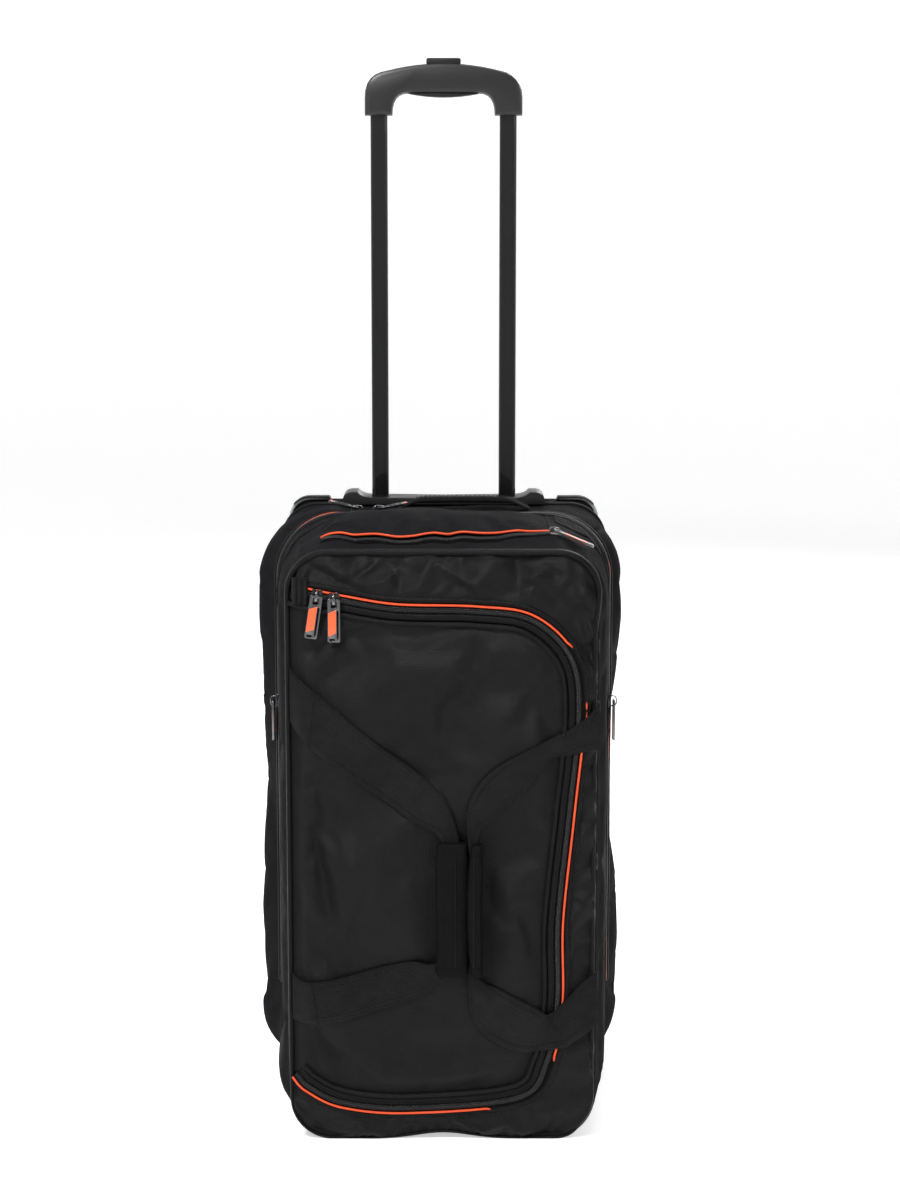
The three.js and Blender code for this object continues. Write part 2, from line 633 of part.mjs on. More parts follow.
function addZippers() {
  const [right, left, front, up, down] = [[1, 0, 0], [-1, 0, 0], [0, -1, 0], [0, 0, 1], [0, 0, -1]];
  const sideX = 153.8;
  const lean = THREE.MathUtils.degToRad(8.5);
  const leaning = [-Math.sin(lean), 0, -Math.cos(lean)];
  const slope = THREE.MathUtils.degToRad(9.5);
  const shoulder = [
    [Math.sin(slope), 0, Math.cos(slope)],
    [Math.cos(slope), 0, -Math.sin(slope)],
  ];
  addZipper("main_zip_left", [-110, FRONT_Y, 498], front, leaning);
  addZipper("main_zip_right", [-95, FRONT_Y, 495], front, down);
  addZipper("top_pocket_zip", [97.5, -80, 543.6], ...shoulder, PULL_LENGTH, 13);
  addZipper("ring_zip_left", [-80, RING_Y, 548.2], up, left, 26);
  addZipper("ring_zip_right", [-60, RING_Y, 548.2], up, right, 26);
  addZipper("left_side_zip", [-sideX, RING_Y, 372], left, down);
  addZipper("right_side_zip", [sideX, RING_Y, 372], right, down);
}

addSoftBody();
addFront();
addTopPocket();
addGrabHandle();
addCarryHandles();
addBoard();
addBezel();
addOuterTubes();
addWheels();
addTelescopicHandle();
addZippers();

export default bag;
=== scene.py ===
"""Rolling duffel bag: the looks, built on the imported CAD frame. Metres; X right, -Y front, Z up."""

import contextlib
import json
import math

import bmesh
import bpy
import numpy as np
from mathutils import Matrix, Vector, noise
from mathutils.bvhtree import BVHTree


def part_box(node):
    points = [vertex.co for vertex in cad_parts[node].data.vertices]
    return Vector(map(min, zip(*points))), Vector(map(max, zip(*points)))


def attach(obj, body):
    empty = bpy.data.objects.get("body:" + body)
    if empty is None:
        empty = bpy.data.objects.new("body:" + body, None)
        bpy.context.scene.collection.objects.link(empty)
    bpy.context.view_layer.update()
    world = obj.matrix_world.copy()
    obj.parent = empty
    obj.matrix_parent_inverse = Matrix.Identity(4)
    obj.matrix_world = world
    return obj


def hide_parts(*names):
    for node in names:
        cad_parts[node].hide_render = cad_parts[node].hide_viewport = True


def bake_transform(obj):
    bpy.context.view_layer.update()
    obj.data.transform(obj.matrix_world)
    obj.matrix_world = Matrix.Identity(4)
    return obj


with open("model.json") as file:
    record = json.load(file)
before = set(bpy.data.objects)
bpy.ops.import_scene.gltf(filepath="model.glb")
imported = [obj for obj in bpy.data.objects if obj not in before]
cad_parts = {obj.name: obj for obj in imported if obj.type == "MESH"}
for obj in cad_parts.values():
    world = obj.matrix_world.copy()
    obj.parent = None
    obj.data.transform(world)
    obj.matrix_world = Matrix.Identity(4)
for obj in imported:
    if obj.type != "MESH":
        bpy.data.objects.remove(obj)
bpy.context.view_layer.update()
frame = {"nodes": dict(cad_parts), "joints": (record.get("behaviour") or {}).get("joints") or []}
SCENE = bpy.context.scene

# ------------------------------------------------------------------ driving dimensions
FRONT_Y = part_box("lid_panel")[0].y  # outside of the lid
BOARD_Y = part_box("back_board")[1].y  # outside of the back board
RING_Y = 0.036  # depth of the zip that runs over the top end and down the sides
BACK_SEAM_Y = 0.104
WELT_Y = -0.1168  # the welt round the front face
SKIN_THICKNESS = 0.0040  # of the padded side and end panels
LID_THICKNESS = 0.0035
RIM_THICKNESS = 0.0028
POCKET_THICKNESS = 0.0024
WHEEL_POCKET_THICKNESS = 0.0014
WEBBING_THICKNESS = 0.0015
PIPING = 0.0010  # radius of the orange piping
WELT = 0.0023  # radius of the black welts

# The bag's outline at each depth: y, half width, top, bottom, corner radius.
PROFILE = np.array([
    (FRONT_Y, 0.128, 0.526, 0.0065, 0.030),
    (-0.116, 0.136, 0.535, 0.0015, 0.037),
    (-0.097, 0.141, 0.541, 0.005, 0.047),
    (-0.070, 0.144, 0.545, 0.005, 0.054),
    (0.008, 0.149, 0.547, 0.005, 0.056),
    (RING_Y, 0.153, 0.548, 0.006, 0.058),
    (0.060, 0.164, 0.548, 0.007, 0.060),
    (0.084, 0.166, 0.548, 0.012, 0.058),
    (BACK_SEAM_Y, 0.153, 0.549, 0.019, 0.034),
    (BOARD_Y - 0.0044, 0.144, 0.550, 0.026, 0.016),
])

# The main zip's line on the front face (x, z), from its upper left end round to its lower left end.
ZIP_LINE = [
    (-0.1325, 0.503), (-0.110, 0.498), (-0.085, 0.493), (-0.040, 0.486), (0.030, 0.484), (0.078, 0.476),
    (0.112, 0.442), (0.119, 0.390), (0.111, 0.300), (0.102, 0.205), (0.102, 0.130),
    (0.093, 0.075), (0.068, 0.041), (-0.030, 0.031), (-0.090, 0.036), (-0.121, 0.051), (-0.1325, 0.062),
]
LID_LEFT = -0.1228  # where the lid folds; its cloth is sewn in further left
LID_CORNERS = 0.503, 0.0625  # heights of the lid's sewn corners
RIM_CORNERS = 0.505, 0.0605  # heights of the rim's sewn ends

# Creases of the front cloth: from (x, z) to (x, z), and how far they stand out (-) or in (+).
RIM_FOLDS = [
    (-0.120, 0.525, -0.081, 0.505, 0.0034), (-0.073, 0.506, -0.041, 0.514, -0.0036),
    (-0.077, 0.512, -0.055, 0.526, 0.0030), (-0.039, 0.519, -0.034, 0.529, -0.0026),
    (-0.003, 0.524, 0.038, 0.500, -0.0036), (0.006, 0.512, 0.028, 0.500, 0.0030),
    (0.064, 0.528, 0.069, 0.506, 0.0034), (0.066, 0.508, 0.089, 0.519, -0.0034),
    (0.095, 0.521, 0.100, 0.508, 0.0030), (0.097, 0.488, 0.114, 0.512, 0.0034),
    (0.112, 0.530, 0.119, 0.499, 0.0032), (0.119, 0.499, 0.130, 0.436, 0.0034),
    (0.124, 0.330, 0.116, 0.240, 0.0026), (0.118, 0.225, 0.112, 0.150, -0.0020),
    (-0.060, 0.020, -0.030, 0.024, 0.0022), (0.012, 0.022, 0.050, 0.028, 0.0022),
]
LID_FOLDS = [
    (0.022, 0.470, 0.006, 0.440, -0.0026), (0.036, 0.462, 0.024, 0.430, 0.0022),
    (-0.112, 0.452, -0.060, 0.470, 0.0030), (-0.105, 0.330, -0.080, 0.255, -0.0034),
    (-0.112, 0.290, -0.098, 0.205, 0.0034), (-0.060, 0.262, -0.082, 0.180, 0.0022),
    (-0.030, 0.245, -0.022, 0.190, -0.0024), (0.052, 0.240, 0.076, 0.180, -0.0034),
    (0.060, 0.222, 0.092, 0.165, 0.0030), (0.040, 0.262, 0.046, 0.200, 0.0022),
    (0.088, 0.436, 0.060, 0.395, -0.0022), (0.000, 0.400, -0.004, 0.345, 0.0022),
    (0.040, 0.145, 0.078, 0.085, 0.0026), (-0.090, 0.090, -0.050, 0.062, -0.0026),
]

# Where the orange piping of the ring zip shows (side, from z to z); elsewhere the cloth rolls over it.
RING_PIPING_SHOWN = [
    (1, 0.487, 0.506), (1, 0.312, 0.362), (1, 0.030, 0.144), (-1, 0.435, 0.452), (-1, 0.0, 0.060),
]


# ------------------------------------------------------------------ small helpers
MM = 0.001
MERGE_DISTANCE = 1e-6  # points nearer than this are one point
TO_FRONT = np.array([0.0, -1.0, 0.0])
TO_BACK = np.array([0.0, 1.0, 0.0])


def smooth_between(a, b, c, d, t):
    """The place at t between b and c on a smooth curve through all four."""
    return 0.5 * (2 * b + (c - a) * t + (2 * a - 5 * b + 4 * c - d) * t ** 2
                  + (3 * b - a - 3 * c + d) * t ** 3)


def catmull(points, count):
    """A smooth curve through points, sampled at count even steps along its length."""
    p = np.array(points, float)
    p = np.vstack([2 * p[0] - p[1], p, 2 * p[-1] - p[-2]])
    fine = []
    for i in range(1, len(p) - 2):
        t = np.linspace(0, 1, 24, endpoint=False)[:, None]
        a, b, c, d = p[i - 1], p[i], p[i + 1], p[i + 2]
        fine.append(smooth_between(a, b, c, d, t))
    fine = np.vstack([*fine, p[-2][None, :]])
    return resample(fine, count)


def lengths_along(points):
    """The distance along a polyline at each of its points."""
    steps = np.linalg.norm(np.diff(points, axis=0), axis=1)
    return np.concatenate([[0], np.cumsum(steps)])


def sampled(values, along, wanted):
    """Rows of values known at the distances along, read off at the wanted distances."""
    return np.stack([np.interp(wanted, along, values[:, k]) for k in range(values.shape[1])], 1)


def resample(points, count):
    """The same polyline with count evenly spaced points."""
    along = lengths_along(points)
    return sampled(points, along, np.linspace(0, along[-1], count))


def unit(vectors):
    """Rows of vectors, each scaled to length 1."""
    return vectors / np.linalg.norm(vectors, axis=1)[:, None]


def offset_line(line, distance):
    """A polyline in the front plane moved sideways; positive is outward for the zip's line."""
    tangent = unit(np.gradient(line, axis=0))
    return line + distance * np.stack([-tangent[:, 1], tangent[:, 0]], 1)


def smoothstep(x, low, high):
    """0 up to low, 1 from high on, and a smooth rise between them."""
    t = np.clip((np.asarray(x, float) - low) / (high - low), 0, 1)
    return t * t * (3 - 2 * t)


def ripple(point, size, seed=0.0):
    """Smooth noise between about -1 and 1, with features of the given size."""
    return noise.noise(Vector(point) / size + Vector((seed, -seed, 2 * seed)))


def mesh_object(name, points, faces, materials, smooth=True):
    """A mesh in the scene, with one material or several."""
    mesh = bpy.data.meshes.new(name)
    mesh.from_pydata([tuple(p) for p in points], [], faces)
    mesh.update()
    made = bpy.data.objects.new(name, mesh)
    SCENE.collection.objects.link(made)
    for material in materials if isinstance(materials, (list, tuple)) else [materials]:
        mesh.materials.append(material)
    if smooth:
        mesh.polygons.foreach_set("use_smooth", [True] * len(mesh.polygons))
    return made


def grid_faces(rows, columns, start=0, closed=False, flip=False):
    """Quads over a grid of points that begins at start; closed joins the last column to the first."""
    faces = []
    for i in range(rows - 1):
        for j in range(columns if closed else columns - 1):
            k = (j + 1) % columns
            quad = [start + i * columns + j, start + i * columns + k,
                    start + (i + 1) * columns + k, start + (i + 1) * columns + j]
            faces.append(quad[::-1] if flip else quad)
    return faces


def grid_normals(grid):
    """Unit normals of a (rows, columns, 3) grid, on the side its faces point to."""
    across = np.gradient(grid, axis=1)
    along = np.gradient(grid, axis=0)
    normal = np.cross(across, along)
    length = np.linalg.norm(normal, axis=2, keepdims=True)
    return normal / np.maximum(length, 1e-12)


def facing(grid, row, column, out):
    """The grid, turned over if its normal at one of its points looks away from out."""
    looks_away = grid_normals(grid)[row, column] @ np.asarray(out, float) < 0
    return grid[:, ::-1] if looks_away else grid


def slab(name, grid, thickness, materials):
    """A closed padded sheet: the grid is its outside, and the inside is material 1."""
    rows, columns = grid.shape[:2]
    inner = grid - thickness * grid_normals(grid)
    points = np.vstack([grid.reshape(-1, 3), inner.reshape(-1, 3)])
    half = rows * columns
    faces = grid_faces(rows, columns)
    outside = len(faces)
    faces += grid_faces(rows, columns, start=half, flip=True)
    inside = len(faces)
    ring = [i * columns for i in range(rows)] + [(rows - 1) * columns + j for j in range(1, columns)]
    ring += [i * columns + columns - 1 for i in range(rows - 2, -1, -1)]
    ring += list(range(columns - 2, 0, -1))
    for a, b in zip(ring, ring[1:] + ring[:1]):
        faces.append([a, b, b + half, a + half])
    made = mesh_object(name, points, faces, materials)
    cloth_coordinates(made.data, grid)
    if len(made.data.materials) > 1:
        index = np.zeros(len(faces), int)
        index[outside:inside] = 1
        made.data.polygons.foreach_set("material_index", index)
    return made


def cloth_coordinates(mesh, grid):
    """A UV map in metres on the cloth itself: U along a strip, V across it."""
    rows, columns = grid.shape[:2]
    along = np.linalg.norm(np.diff(grid, axis=0), axis=2).mean(axis=1)
    across = np.linalg.norm(np.diff(grid, axis=1), axis=2).mean(axis=0)
    u = np.concatenate([[0], np.cumsum(along)])
    v = np.concatenate([[0], np.cumsum(across)])
    table = np.stack(np.meshgrid(u, v, indexing="ij"), 2).reshape(-1, 2)
    corner = np.empty(len(mesh.loops), int)
    mesh.loops.foreach_get("vertex_index", corner)
    layer = mesh.uv_layers.new(name="cloth")
    layer.data.foreach_set("uv", table[corner % (rows * columns)].ravel())


def tube(name, path, radius, material, sides=8, closed=False):
    """A round cord along a path of points."""
    path = np.asarray(path, float)
    count = len(path)
    if closed:
        tangent = np.roll(path, -1, axis=0) - np.roll(path, 1, axis=0)
    else:
        tangent = np.gradient(path, axis=0)
    tangent = unit(tangent)
    up = np.array([0.0, 1.0, 0.0])
    if abs(tangent[:, 1]).max() > 0.9:
        up = np.array([0.02, 0.2, 1.0])
    side = unit(np.cross(tangent, up))
    top = np.cross(side, tangent)
    radii = np.broadcast_to(np.asarray(radius, float), (count,))
    points = []
    for k in range(count):
        for a in np.linspace(0, 2 * math.pi, sides, endpoint=False):
            points.append(path[k] + radii[k] * (math.cos(a) * side[k] + math.sin(a) * top[k]))
    rows = count + 1 if closed else count
    faces = []
    for i in range(rows - 1):
        for j in range(sides):
            k = (j + 1) % sides
            a, b = (i % count) * sides, ((i + 1) % count) * sides
            faces.append([a + j, b + j, b + k, a + k])
    if not closed:
        faces.append(list(range(sides)))
        faces.append([(count - 1) * sides + j for j in range(sides)][::-1])
    return mesh_object(name, points, faces, material)


def plate(name, outline, low, high, material, bevel=0.0, holes=()):
    """A flat shape drawn in the front plane (x, z), solid from y low to y high."""
    curve = bpy.data.curves.new(name, "CURVE")
    curve.dimensions = "2D"
    curve.fill_mode = "BOTH"
    curve.extrude = (high - low) / 2 - bevel
    curve.bevel_depth = bevel
    curve.bevel_resolution = 3
    curve.offset = -bevel
    for ring in (outline, *holes):
        spline = curve.splines.new("POLY")
        spline.points.add(len(ring) - 1)
        for point, (x, z) in zip(spline.points, ring):
            point.co = (x, z, 0, 1)
        spline.use_cyclic_u = True
    made = bpy.data.objects.new(name, curve)
    SCENE.collection.objects.link(made)
    bpy.context.view_layer.update()
    mesh = bpy.data.meshes.new_from_object(made.evaluated_get(bpy.context.evaluated_depsgraph_get()))
    bpy.data.objects.remove(made)
    bpy.data.curves.remove(curve)
    with mesh_work(mesh) as work:
        bmesh.ops.remove_doubles(work, verts=work.verts, dist=MERGE_DISTANCE)
    mesh.transform(Matrix(((1, 0, 0, 0), (0, 0, -1, (low + high) / 2), (0, 1, 0, 0), (0, 0, 0, 1))))
    mesh.materials.clear()
    mesh.materials.append(material)
    made = bpy.data.objects.new(name, mesh)
    SCENE.collection.objects.link(made)
    return smooth_by_angle(made)


@contextlib.contextmanager
def mesh_work(mesh):
    """A bmesh to work on, written back into the mesh afterwards."""
    work = bmesh.new()
    work.from_mesh(mesh)
    yield work
    work.to_mesh(mesh)
    work.free()


def smooth_by_angle(made, degrees=40):
    """Smooth shading, with edges sharper than an angle kept sharp."""
    mesh = made.data
    mesh.polygons.foreach_set("use_smooth", [True] * len(mesh.polygons))
    mesh.set_sharp_from_angle(angle=math.radians(degrees))
    return made


def merge(name, objects):
    """Joins several objects into one piece, keeping their materials."""
    bpy.ops.object.select_all(action="DESELECT")
    for item in objects:
        item.select_set(True)
    bpy.context.view_layer.objects.active = objects[0]
    bpy.ops.object.join()
    objects[0].name = name
    return objects[0]


def piece(made, body, slot, *nodes):
    """A finished piece: attached to the body it rides on, with the CAD nodes it replaces hidden; slot is not
    used.
    """
    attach(made, body)
    if nodes:
        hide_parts(*nodes)
    return made


# ------------------------------------------------------------------ materials
def shader_of(material):
    return material.node_tree.nodes["Principled BSDF"]


def new_material(name, color, roughness, **sockets):
    material = bpy.data.materials.new(name)
    material.use_nodes = True
    material.diffuse_color = (*color, 1)
    shader = shader_of(material)
    shader.inputs["Base Color"].default_value = (*color, 1)
    shader.inputs["Roughness"].default_value = roughness
    for key, value in sockets.items():
        shader.inputs[key.replace("_", " ")].default_value = value
    return material


def node(material, kind, **values):
    made = material.node_tree.nodes.new(kind)
    for key, value in values.items():
        setattr(made, key, value)
    return made


def link(material, source, target):
    material.node_tree.links.new(source, target)


def coordinates(material, turn=(0, 0, 0)):
    place = node(material, "ShaderNodeTexCoord")
    mapping = node(material, "ShaderNodeMapping")
    mapping.inputs["Rotation"].default_value = turn
    link(material, place.outputs["Object"], mapping.inputs["Vector"])
    return mapping.outputs["Vector"]


def noise_texture(material, vector, scale, detail=2.0, roughness=0.5):
    texture = node(material, "ShaderNodeTexNoise")
    texture.inputs["Scale"].default_value = scale
    texture.inputs["Detail"].default_value = detail
    texture.inputs["Roughness"].default_value = roughness
    link(material, vector, texture.inputs["Vector"])
    return texture.outputs["Fac"]


def wave_texture(material, vector, scale, direction):
    texture = node(material, "ShaderNodeTexWave", bands_direction=direction)
    texture.inputs["Scale"].default_value = scale
    link(material, vector, texture.inputs["Vector"])
    return texture.outputs["Fac"]


def math_node(material, operation, a, b):
    made = node(material, "ShaderNodeMath", operation=operation)
    for socket, value in zip(made.inputs, (a, b)):
        if isinstance(value, (int, float)):
            socket.default_value = value
        else:
            link(material, value, socket)
    return made.outputs[0]


def add_bump(material, height, strength, distance):
    bump = node(material, "ShaderNodeBump")
    bump.inputs["Strength"].default_value = strength
    bump.inputs["Distance"].default_value = distance
    link(material, height, bump.inputs["Height"])
    shader = shader_of(material)
    link(material, bump.outputs["Normal"], shader.inputs["Normal"])


def vary_color(material, factor, dark, light):
    """Mottles the colour between two shades."""
    ramp = node(material, "ShaderNodeValToRGB")
    ramp.color_ramp.elements[0].position = 0.3
    ramp.color_ramp.elements[1].position = 0.7
    ramp.color_ramp.elements[0].color = (*dark, 1)
    ramp.color_ramp.elements[1].color = (*light, 1)
    link(material, factor, ramp.inputs["Fac"])
    shader = shader_of(material)
    link(material, ramp.outputs["Color"], shader.inputs["Base Color"])


def vary_roughness(material, factor, low, high):
    """Lets the roughness wander between two values."""
    span = node(material, "ShaderNodeMapRange")
    span.inputs["To Min"].default_value = low
    span.inputs["To Max"].default_value = high
    link(material, factor, span.inputs["Value"])
    shader = shader_of(material)
    link(material, span.outputs["Result"], shader.inputs["Roughness"])


def woven(name, dark, light, pitch, roughness, sheen, bump, shine=0.13):
    """Cloth: crossed threads of the given pitch, soft mottling and a satin sheen."""
    material = new_material(name, dark, roughness, Sheen_Weight=sheen, Sheen_Roughness=0.4,
                            Specular_IOR_Level=shine)
    shader_of(material).inputs["Sheen Tint"].default_value = (0.8, 0.82, 0.9, 1)
    place = coordinates(material)
    lattice = coordinates(material, turn=(0.0, 0.35, 0.0))
    scale = 1 / pitch
    threads = wave_texture(material, lattice, scale, "X")
    cross = wave_texture(material, lattice, scale, "Z")
    depth = wave_texture(material, lattice, scale, "Y")
    weave = math_node(material, "ADD", math_node(material, "MULTIPLY", threads, cross), depth)
    mottle = noise_texture(material, place, 60, detail=6, roughness=0.65)
    fine = noise_texture(material, place, 900, detail=2)
    height = math_node(material, "ADD", weave, math_node(material, "MULTIPLY", fine, 1.2))
    height = math_node(material, "ADD", height, math_node(material, "MULTIPLY", mottle, 2.5))
    vary_color(material, math_node(material, "MULTIPLY", math_node(material, "ADD", mottle, fine), 0.5),
               dark, light)
    vary_roughness(material, mottle, roughness - 0.08, roughness + 0.1)
    add_bump(material, height, bump, 0.0006)
    return material


def ribbed(name, dark, light, pitch, roughness, direction, bump, shine=0.13):
    """Webbing, tape or a pleated gusset: close ribs along U or across it, on the cloth's own map."""
    material = new_material(name, dark, roughness, Sheen_Weight=0.01, Sheen_Roughness=0.5,
                            Specular_IOR_Level=shine)
    cloth = node(material, "ShaderNodeUVMap", uv_map="cloth")
    ribs = wave_texture(material, cloth.outputs["UV"], 1 / pitch / 3.2, direction)
    cross = wave_texture(material, cloth.outputs["UV"], 1 / pitch, "X" if direction == "Y" else "Y")
    place = coordinates(material)
    fine = noise_texture(material, place, 1200, detail=2)
    mottle = noise_texture(material, place, 90, detail=4)
    height = math_node(material, "ADD", ribs, math_node(material, "MULTIPLY", fine, 0.6))
    height = math_node(material, "ADD", height, math_node(material, "MULTIPLY", cross, 0.4))
    vary_color(material, math_node(material, "ADD", math_node(material, "MULTIPLY", fine, 0.5),
                                   math_node(material, "MULTIPLY", mottle, 0.5)), dark, light)
    vary_roughness(material, fine, roughness - 0.06, roughness + 0.08)
    add_bump(material, height, bump, 0.0005)
    return material


def moulded(name, color, roughness, **sockets):
    """Injection-moulded plastic with a fine spark grain."""
    material = new_material(name, color, roughness, **sockets)
    place = coordinates(material)
    fine = noise_texture(material, place, 2200, detail=2)
    broad = noise_texture(material, place, 45, detail=3)
    vary_roughness(material, broad, roughness - 0.05, roughness + 0.07)
    add_bump(material, fine, 0.35, 0.0002)
    return material


def metal(name, color, roughness):
    """Bare metal with fine scratches."""
    material = new_material(name, color, roughness, Metallic=1.0)
    place = coordinates(material)
    scratch = noise_texture(material, place, 700, detail=3)
    vary_roughness(material, scratch, roughness - 0.06, roughness + 0.1)
    add_bump(material, scratch, 0.12, 0.0001)
    return material


BLACK = (0.0022, 0.0022, 0.0026)
CHARCOAL = (0.0062, 0.0062, 0.0070)
FABRIC = woven("satin_polyester", BLACK, CHARCOAL, 0.0011, 0.36, 0.0, 0.35, shine=0.13)
# The side and end panels are the same black cloth as the front; this lighter colour is painted sheen,
# standing in for the grazing reflections that its very low shine leaves out.
SIDE_FABRIC_PAINTED_SHEEN = woven("side_polyester_painted_sheen", (0.0065, 0.0065, 0.0072), (0.0140, 0.0140, 0.0150), 0.0011, 0.50, 0.0,
                    0.30, shine=0.004)
GUSSET = ribbed("ribbed_gusset", (0.0050, 0.0050, 0.0056), (0.0115, 0.0115, 0.0125), 0.0030, 0.5, "X", 1.0,
                shine=0.01)
LINING = woven("lining_cloth", (0.008, 0.008, 0.009), (0.016, 0.016, 0.018), 0.0009, 0.6, 0.0, 0.25,
               shine=0.05)
WEB = ribbed("webbing", (0.0050, 0.0049, 0.0050), (0.0105, 0.0102, 0.0104), 0.0016, 0.5, "Y", 0.8, shine=0.10)
TAPE = ribbed("zip_tape", (0.003, 0.003, 0.0035), (0.006, 0.006, 0.007), 0.0009, 0.7, "Y", 0.5, shine=0.03)
THREAD = new_material("thread", (0.010, 0.010, 0.011), 0.5, Specular_IOR_Level=0.2)
BINDING = woven("binding_cloth", (0.0030, 0.0030, 0.0034), (0.0068, 0.0068, 0.0074), 0.0008, 0.36, 0.0, 0.3,
                shine=0.10)
SLEEVE = woven("sleeve_cloth", (0.0024, 0.0024, 0.0026), (0.0058, 0.0058, 0.0062), 0.0010, 0.5, 0.0, 0.3,
               shine=0.05)
ORANGE = woven("orange_piping", (0.66, 0.070, 0.022), (0.82, 0.105, 0.036), 0.0007, 0.45, 0.05, 0.25)
ORANGE_INSERT = moulded("orange_insert", (0.86, 0.11, 0.028), 0.35, Coat_Weight=0.3)
GUNMETAL = metal("gunmetal", (0.17, 0.17, 0.175), 0.20)
BLACK_METAL = metal("black_nickel", (0.060, 0.060, 0.064), 0.24)
COIL = moulded("zip_coil", (0.010, 0.010, 0.011), 0.3)
GRIP = moulded("grip_plastic", (0.0150, 0.0150, 0.0158), 0.36, Specular_IOR_Level=0.36)
SOFT_GRIP = moulded("grip_rubber", (0.007, 0.007, 0.0075), 0.5, Specular_IOR_Level=0.3)
PLASTIC = moulded("black_plastic", (0.007, 0.007, 0.0075), 0.42, Specular_IOR_Level=0.3)
BEZEL = moulded("bezel_plastic", (0.012, 0.012, 0.013), 0.36, Specular_IOR_Level=0.3)
# The corner guards are black glossy plastic; their light grey colour is a painted highlight of their rounded
# edges.
GUARD_PAINTED_HIGHLIGHT = moulded("guard_plastic_painted_highlight", (0.30, 0.31, 0.32), 0.35)
BOARD = woven("board_cloth", (0.0060, 0.0060, 0.0066), (0.0130, 0.0130, 0.0140), 0.0014, 0.6, 0.0, 0.5,
              shine=0.02)
TUBE = new_material("anodised_tube", (0.008, 0.008, 0.009), 0.24, Metallic=0.5, Coat_Weight=0.4)
STEEL = metal("zinc_steel", (0.55, 0.55, 0.56), 0.3)
RUBBER = moulded("tyre_rubber", (0.012, 0.012, 0.012), 0.75)

# The CAD nodes that are shown as they are: the works inside the pull handle.
CAD_MATERIALS = {"push_yoke": PLASTIC, "button_spring": STEEL}
for hand in ("left", "right"):
    CAD_MATERIALS[hand + "_tube_plug"] = PLASTIC
    for part in ("push_rod", "lock_pin", "grip_screw"):
        CAD_MATERIALS[f"{hand}_{part}"] = STEEL


def dress_cad_nodes():
    """Gives the CAD nodes that stay in view their materials."""
    for name, material in CAD_MATERIALS.items():
        shown = frame["nodes"][name]
        shown.data.materials.clear()
        shown.data.materials.append(material)


# ------------------------------------------------------------------ cloth
def crumple(points, faces, pinned, grow, pressure, cap, free=1.0, frames=20, bending=0.6):
    """Lets a sheet of cloth that is a little too large for its sewn edges buckle into folds.
    Returns the moved points; none moves further than cap times its own share in free."""
    made = mesh_object("cloth_at_work", points, faces, FABRIC)
    group = made.vertex_groups.new(name="sewn")
    group.add([int(i) for i in pinned], 1.0, "REPLACE")
    modifier = made.modifiers.new("cloth", "CLOTH")
    cloth = modifier.settings
    cloth.quality = 6
    cloth.mass = 0.2
    cloth.tension_stiffness = 15
    cloth.compression_stiffness = 15
    cloth.shear_stiffness = 6
    cloth.bending_stiffness = bending
    cloth.vertex_group_mass = "sewn"
    cloth.shrink_min = -grow
    cloth.use_pressure = True
    cloth.uniform_pressure_force = pressure
    cloth.effector_weights.gravity = 0
    modifier.collision_settings.use_collision = False
    modifier.point_cache.frame_end = frames
    SCENE.frame_start = 1
    SCENE.frame_end = frames
    for step in range(1, frames + 1):
        SCENE.frame_set(step)
    evaluated = made.evaluated_get(bpy.context.evaluated_depsgraph_get())
    moved = np.empty(len(points) * 3)
    evaluated.data.vertices.foreach_get("co", moved)
    moved = moved.reshape(-1, 3)
    delta = moved - points
    size = np.linalg.norm(delta, axis=1, keepdims=True)
    delta *= np.tanh(size / cap) * cap / np.maximum(size, 1e-9)
    bpy.data.objects.remove(made)
    SCENE.frame_set(1)
    return points + delta * np.broadcast_to(free, len(points))[:, None]


def crumpled_grid(grid, pinned_rows=(), free=1.0, **cloth):
    """crumple for a grid that is sewn at its border and along some of its rows."""
    rows, columns = grid.shape[:2]
    index = np.arange(rows * columns).reshape(rows, columns)
    pinned = set(index[0]) | set(index[-1]) | set(index[:, 0]) | set(index[:, -1])
    for row in pinned_rows:
        pinned |= set(index[row])
    free = np.broadcast_to(free, (rows, columns)).reshape(-1)
    points = crumple(grid.reshape(-1, 3), grid_faces(rows, columns), sorted(pinned), free=free, **cloth)
    return points.reshape(rows, columns, 3)


# ------------------------------------------------------------------ the bag's skin
def profile_at(v):
    """The outline's measures at a fraction v of the profile, 0 at the lid and 1 at the board."""
    at = v * (len(PROFILE) - 1)
    k = int(min(max(math.floor(at), 0), len(PROFILE) - 2))
    t = at - k
    rows = [PROFILE[min(max(i, 0), len(PROFILE) - 1)] for i in range(k - 1, k + 3)]
    y, half, top, bottom, radius = smooth_between(*rows, t)
    return y, half, top, bottom, radius


def on_outline(half, top, bottom, radius, u):
    """A point of the rounded outline; u counts its straights and arcs from 0 to 8, as in the CAD."""
    u %= 8
    k = int(u)
    t = u - k
    corners = [(half - radius, bottom + radius), (half - radius, top - radius),
               (radius - half, top - radius), (radius - half, bottom + radius)]
    side = k // 2
    start = (side - 1) * math.pi / 2
    cx, cz = corners[side]
    if k % 2 == 1:
        angle = start + t * math.pi / 2
        return cx + radius * math.cos(angle), cz + radius * math.sin(angle)
    px, pz = corners[(side + 3) % 4]
    return (px + (cx - px) * t + radius * math.cos(start),
            pz + (cz - pz) * t + radius * math.sin(start))


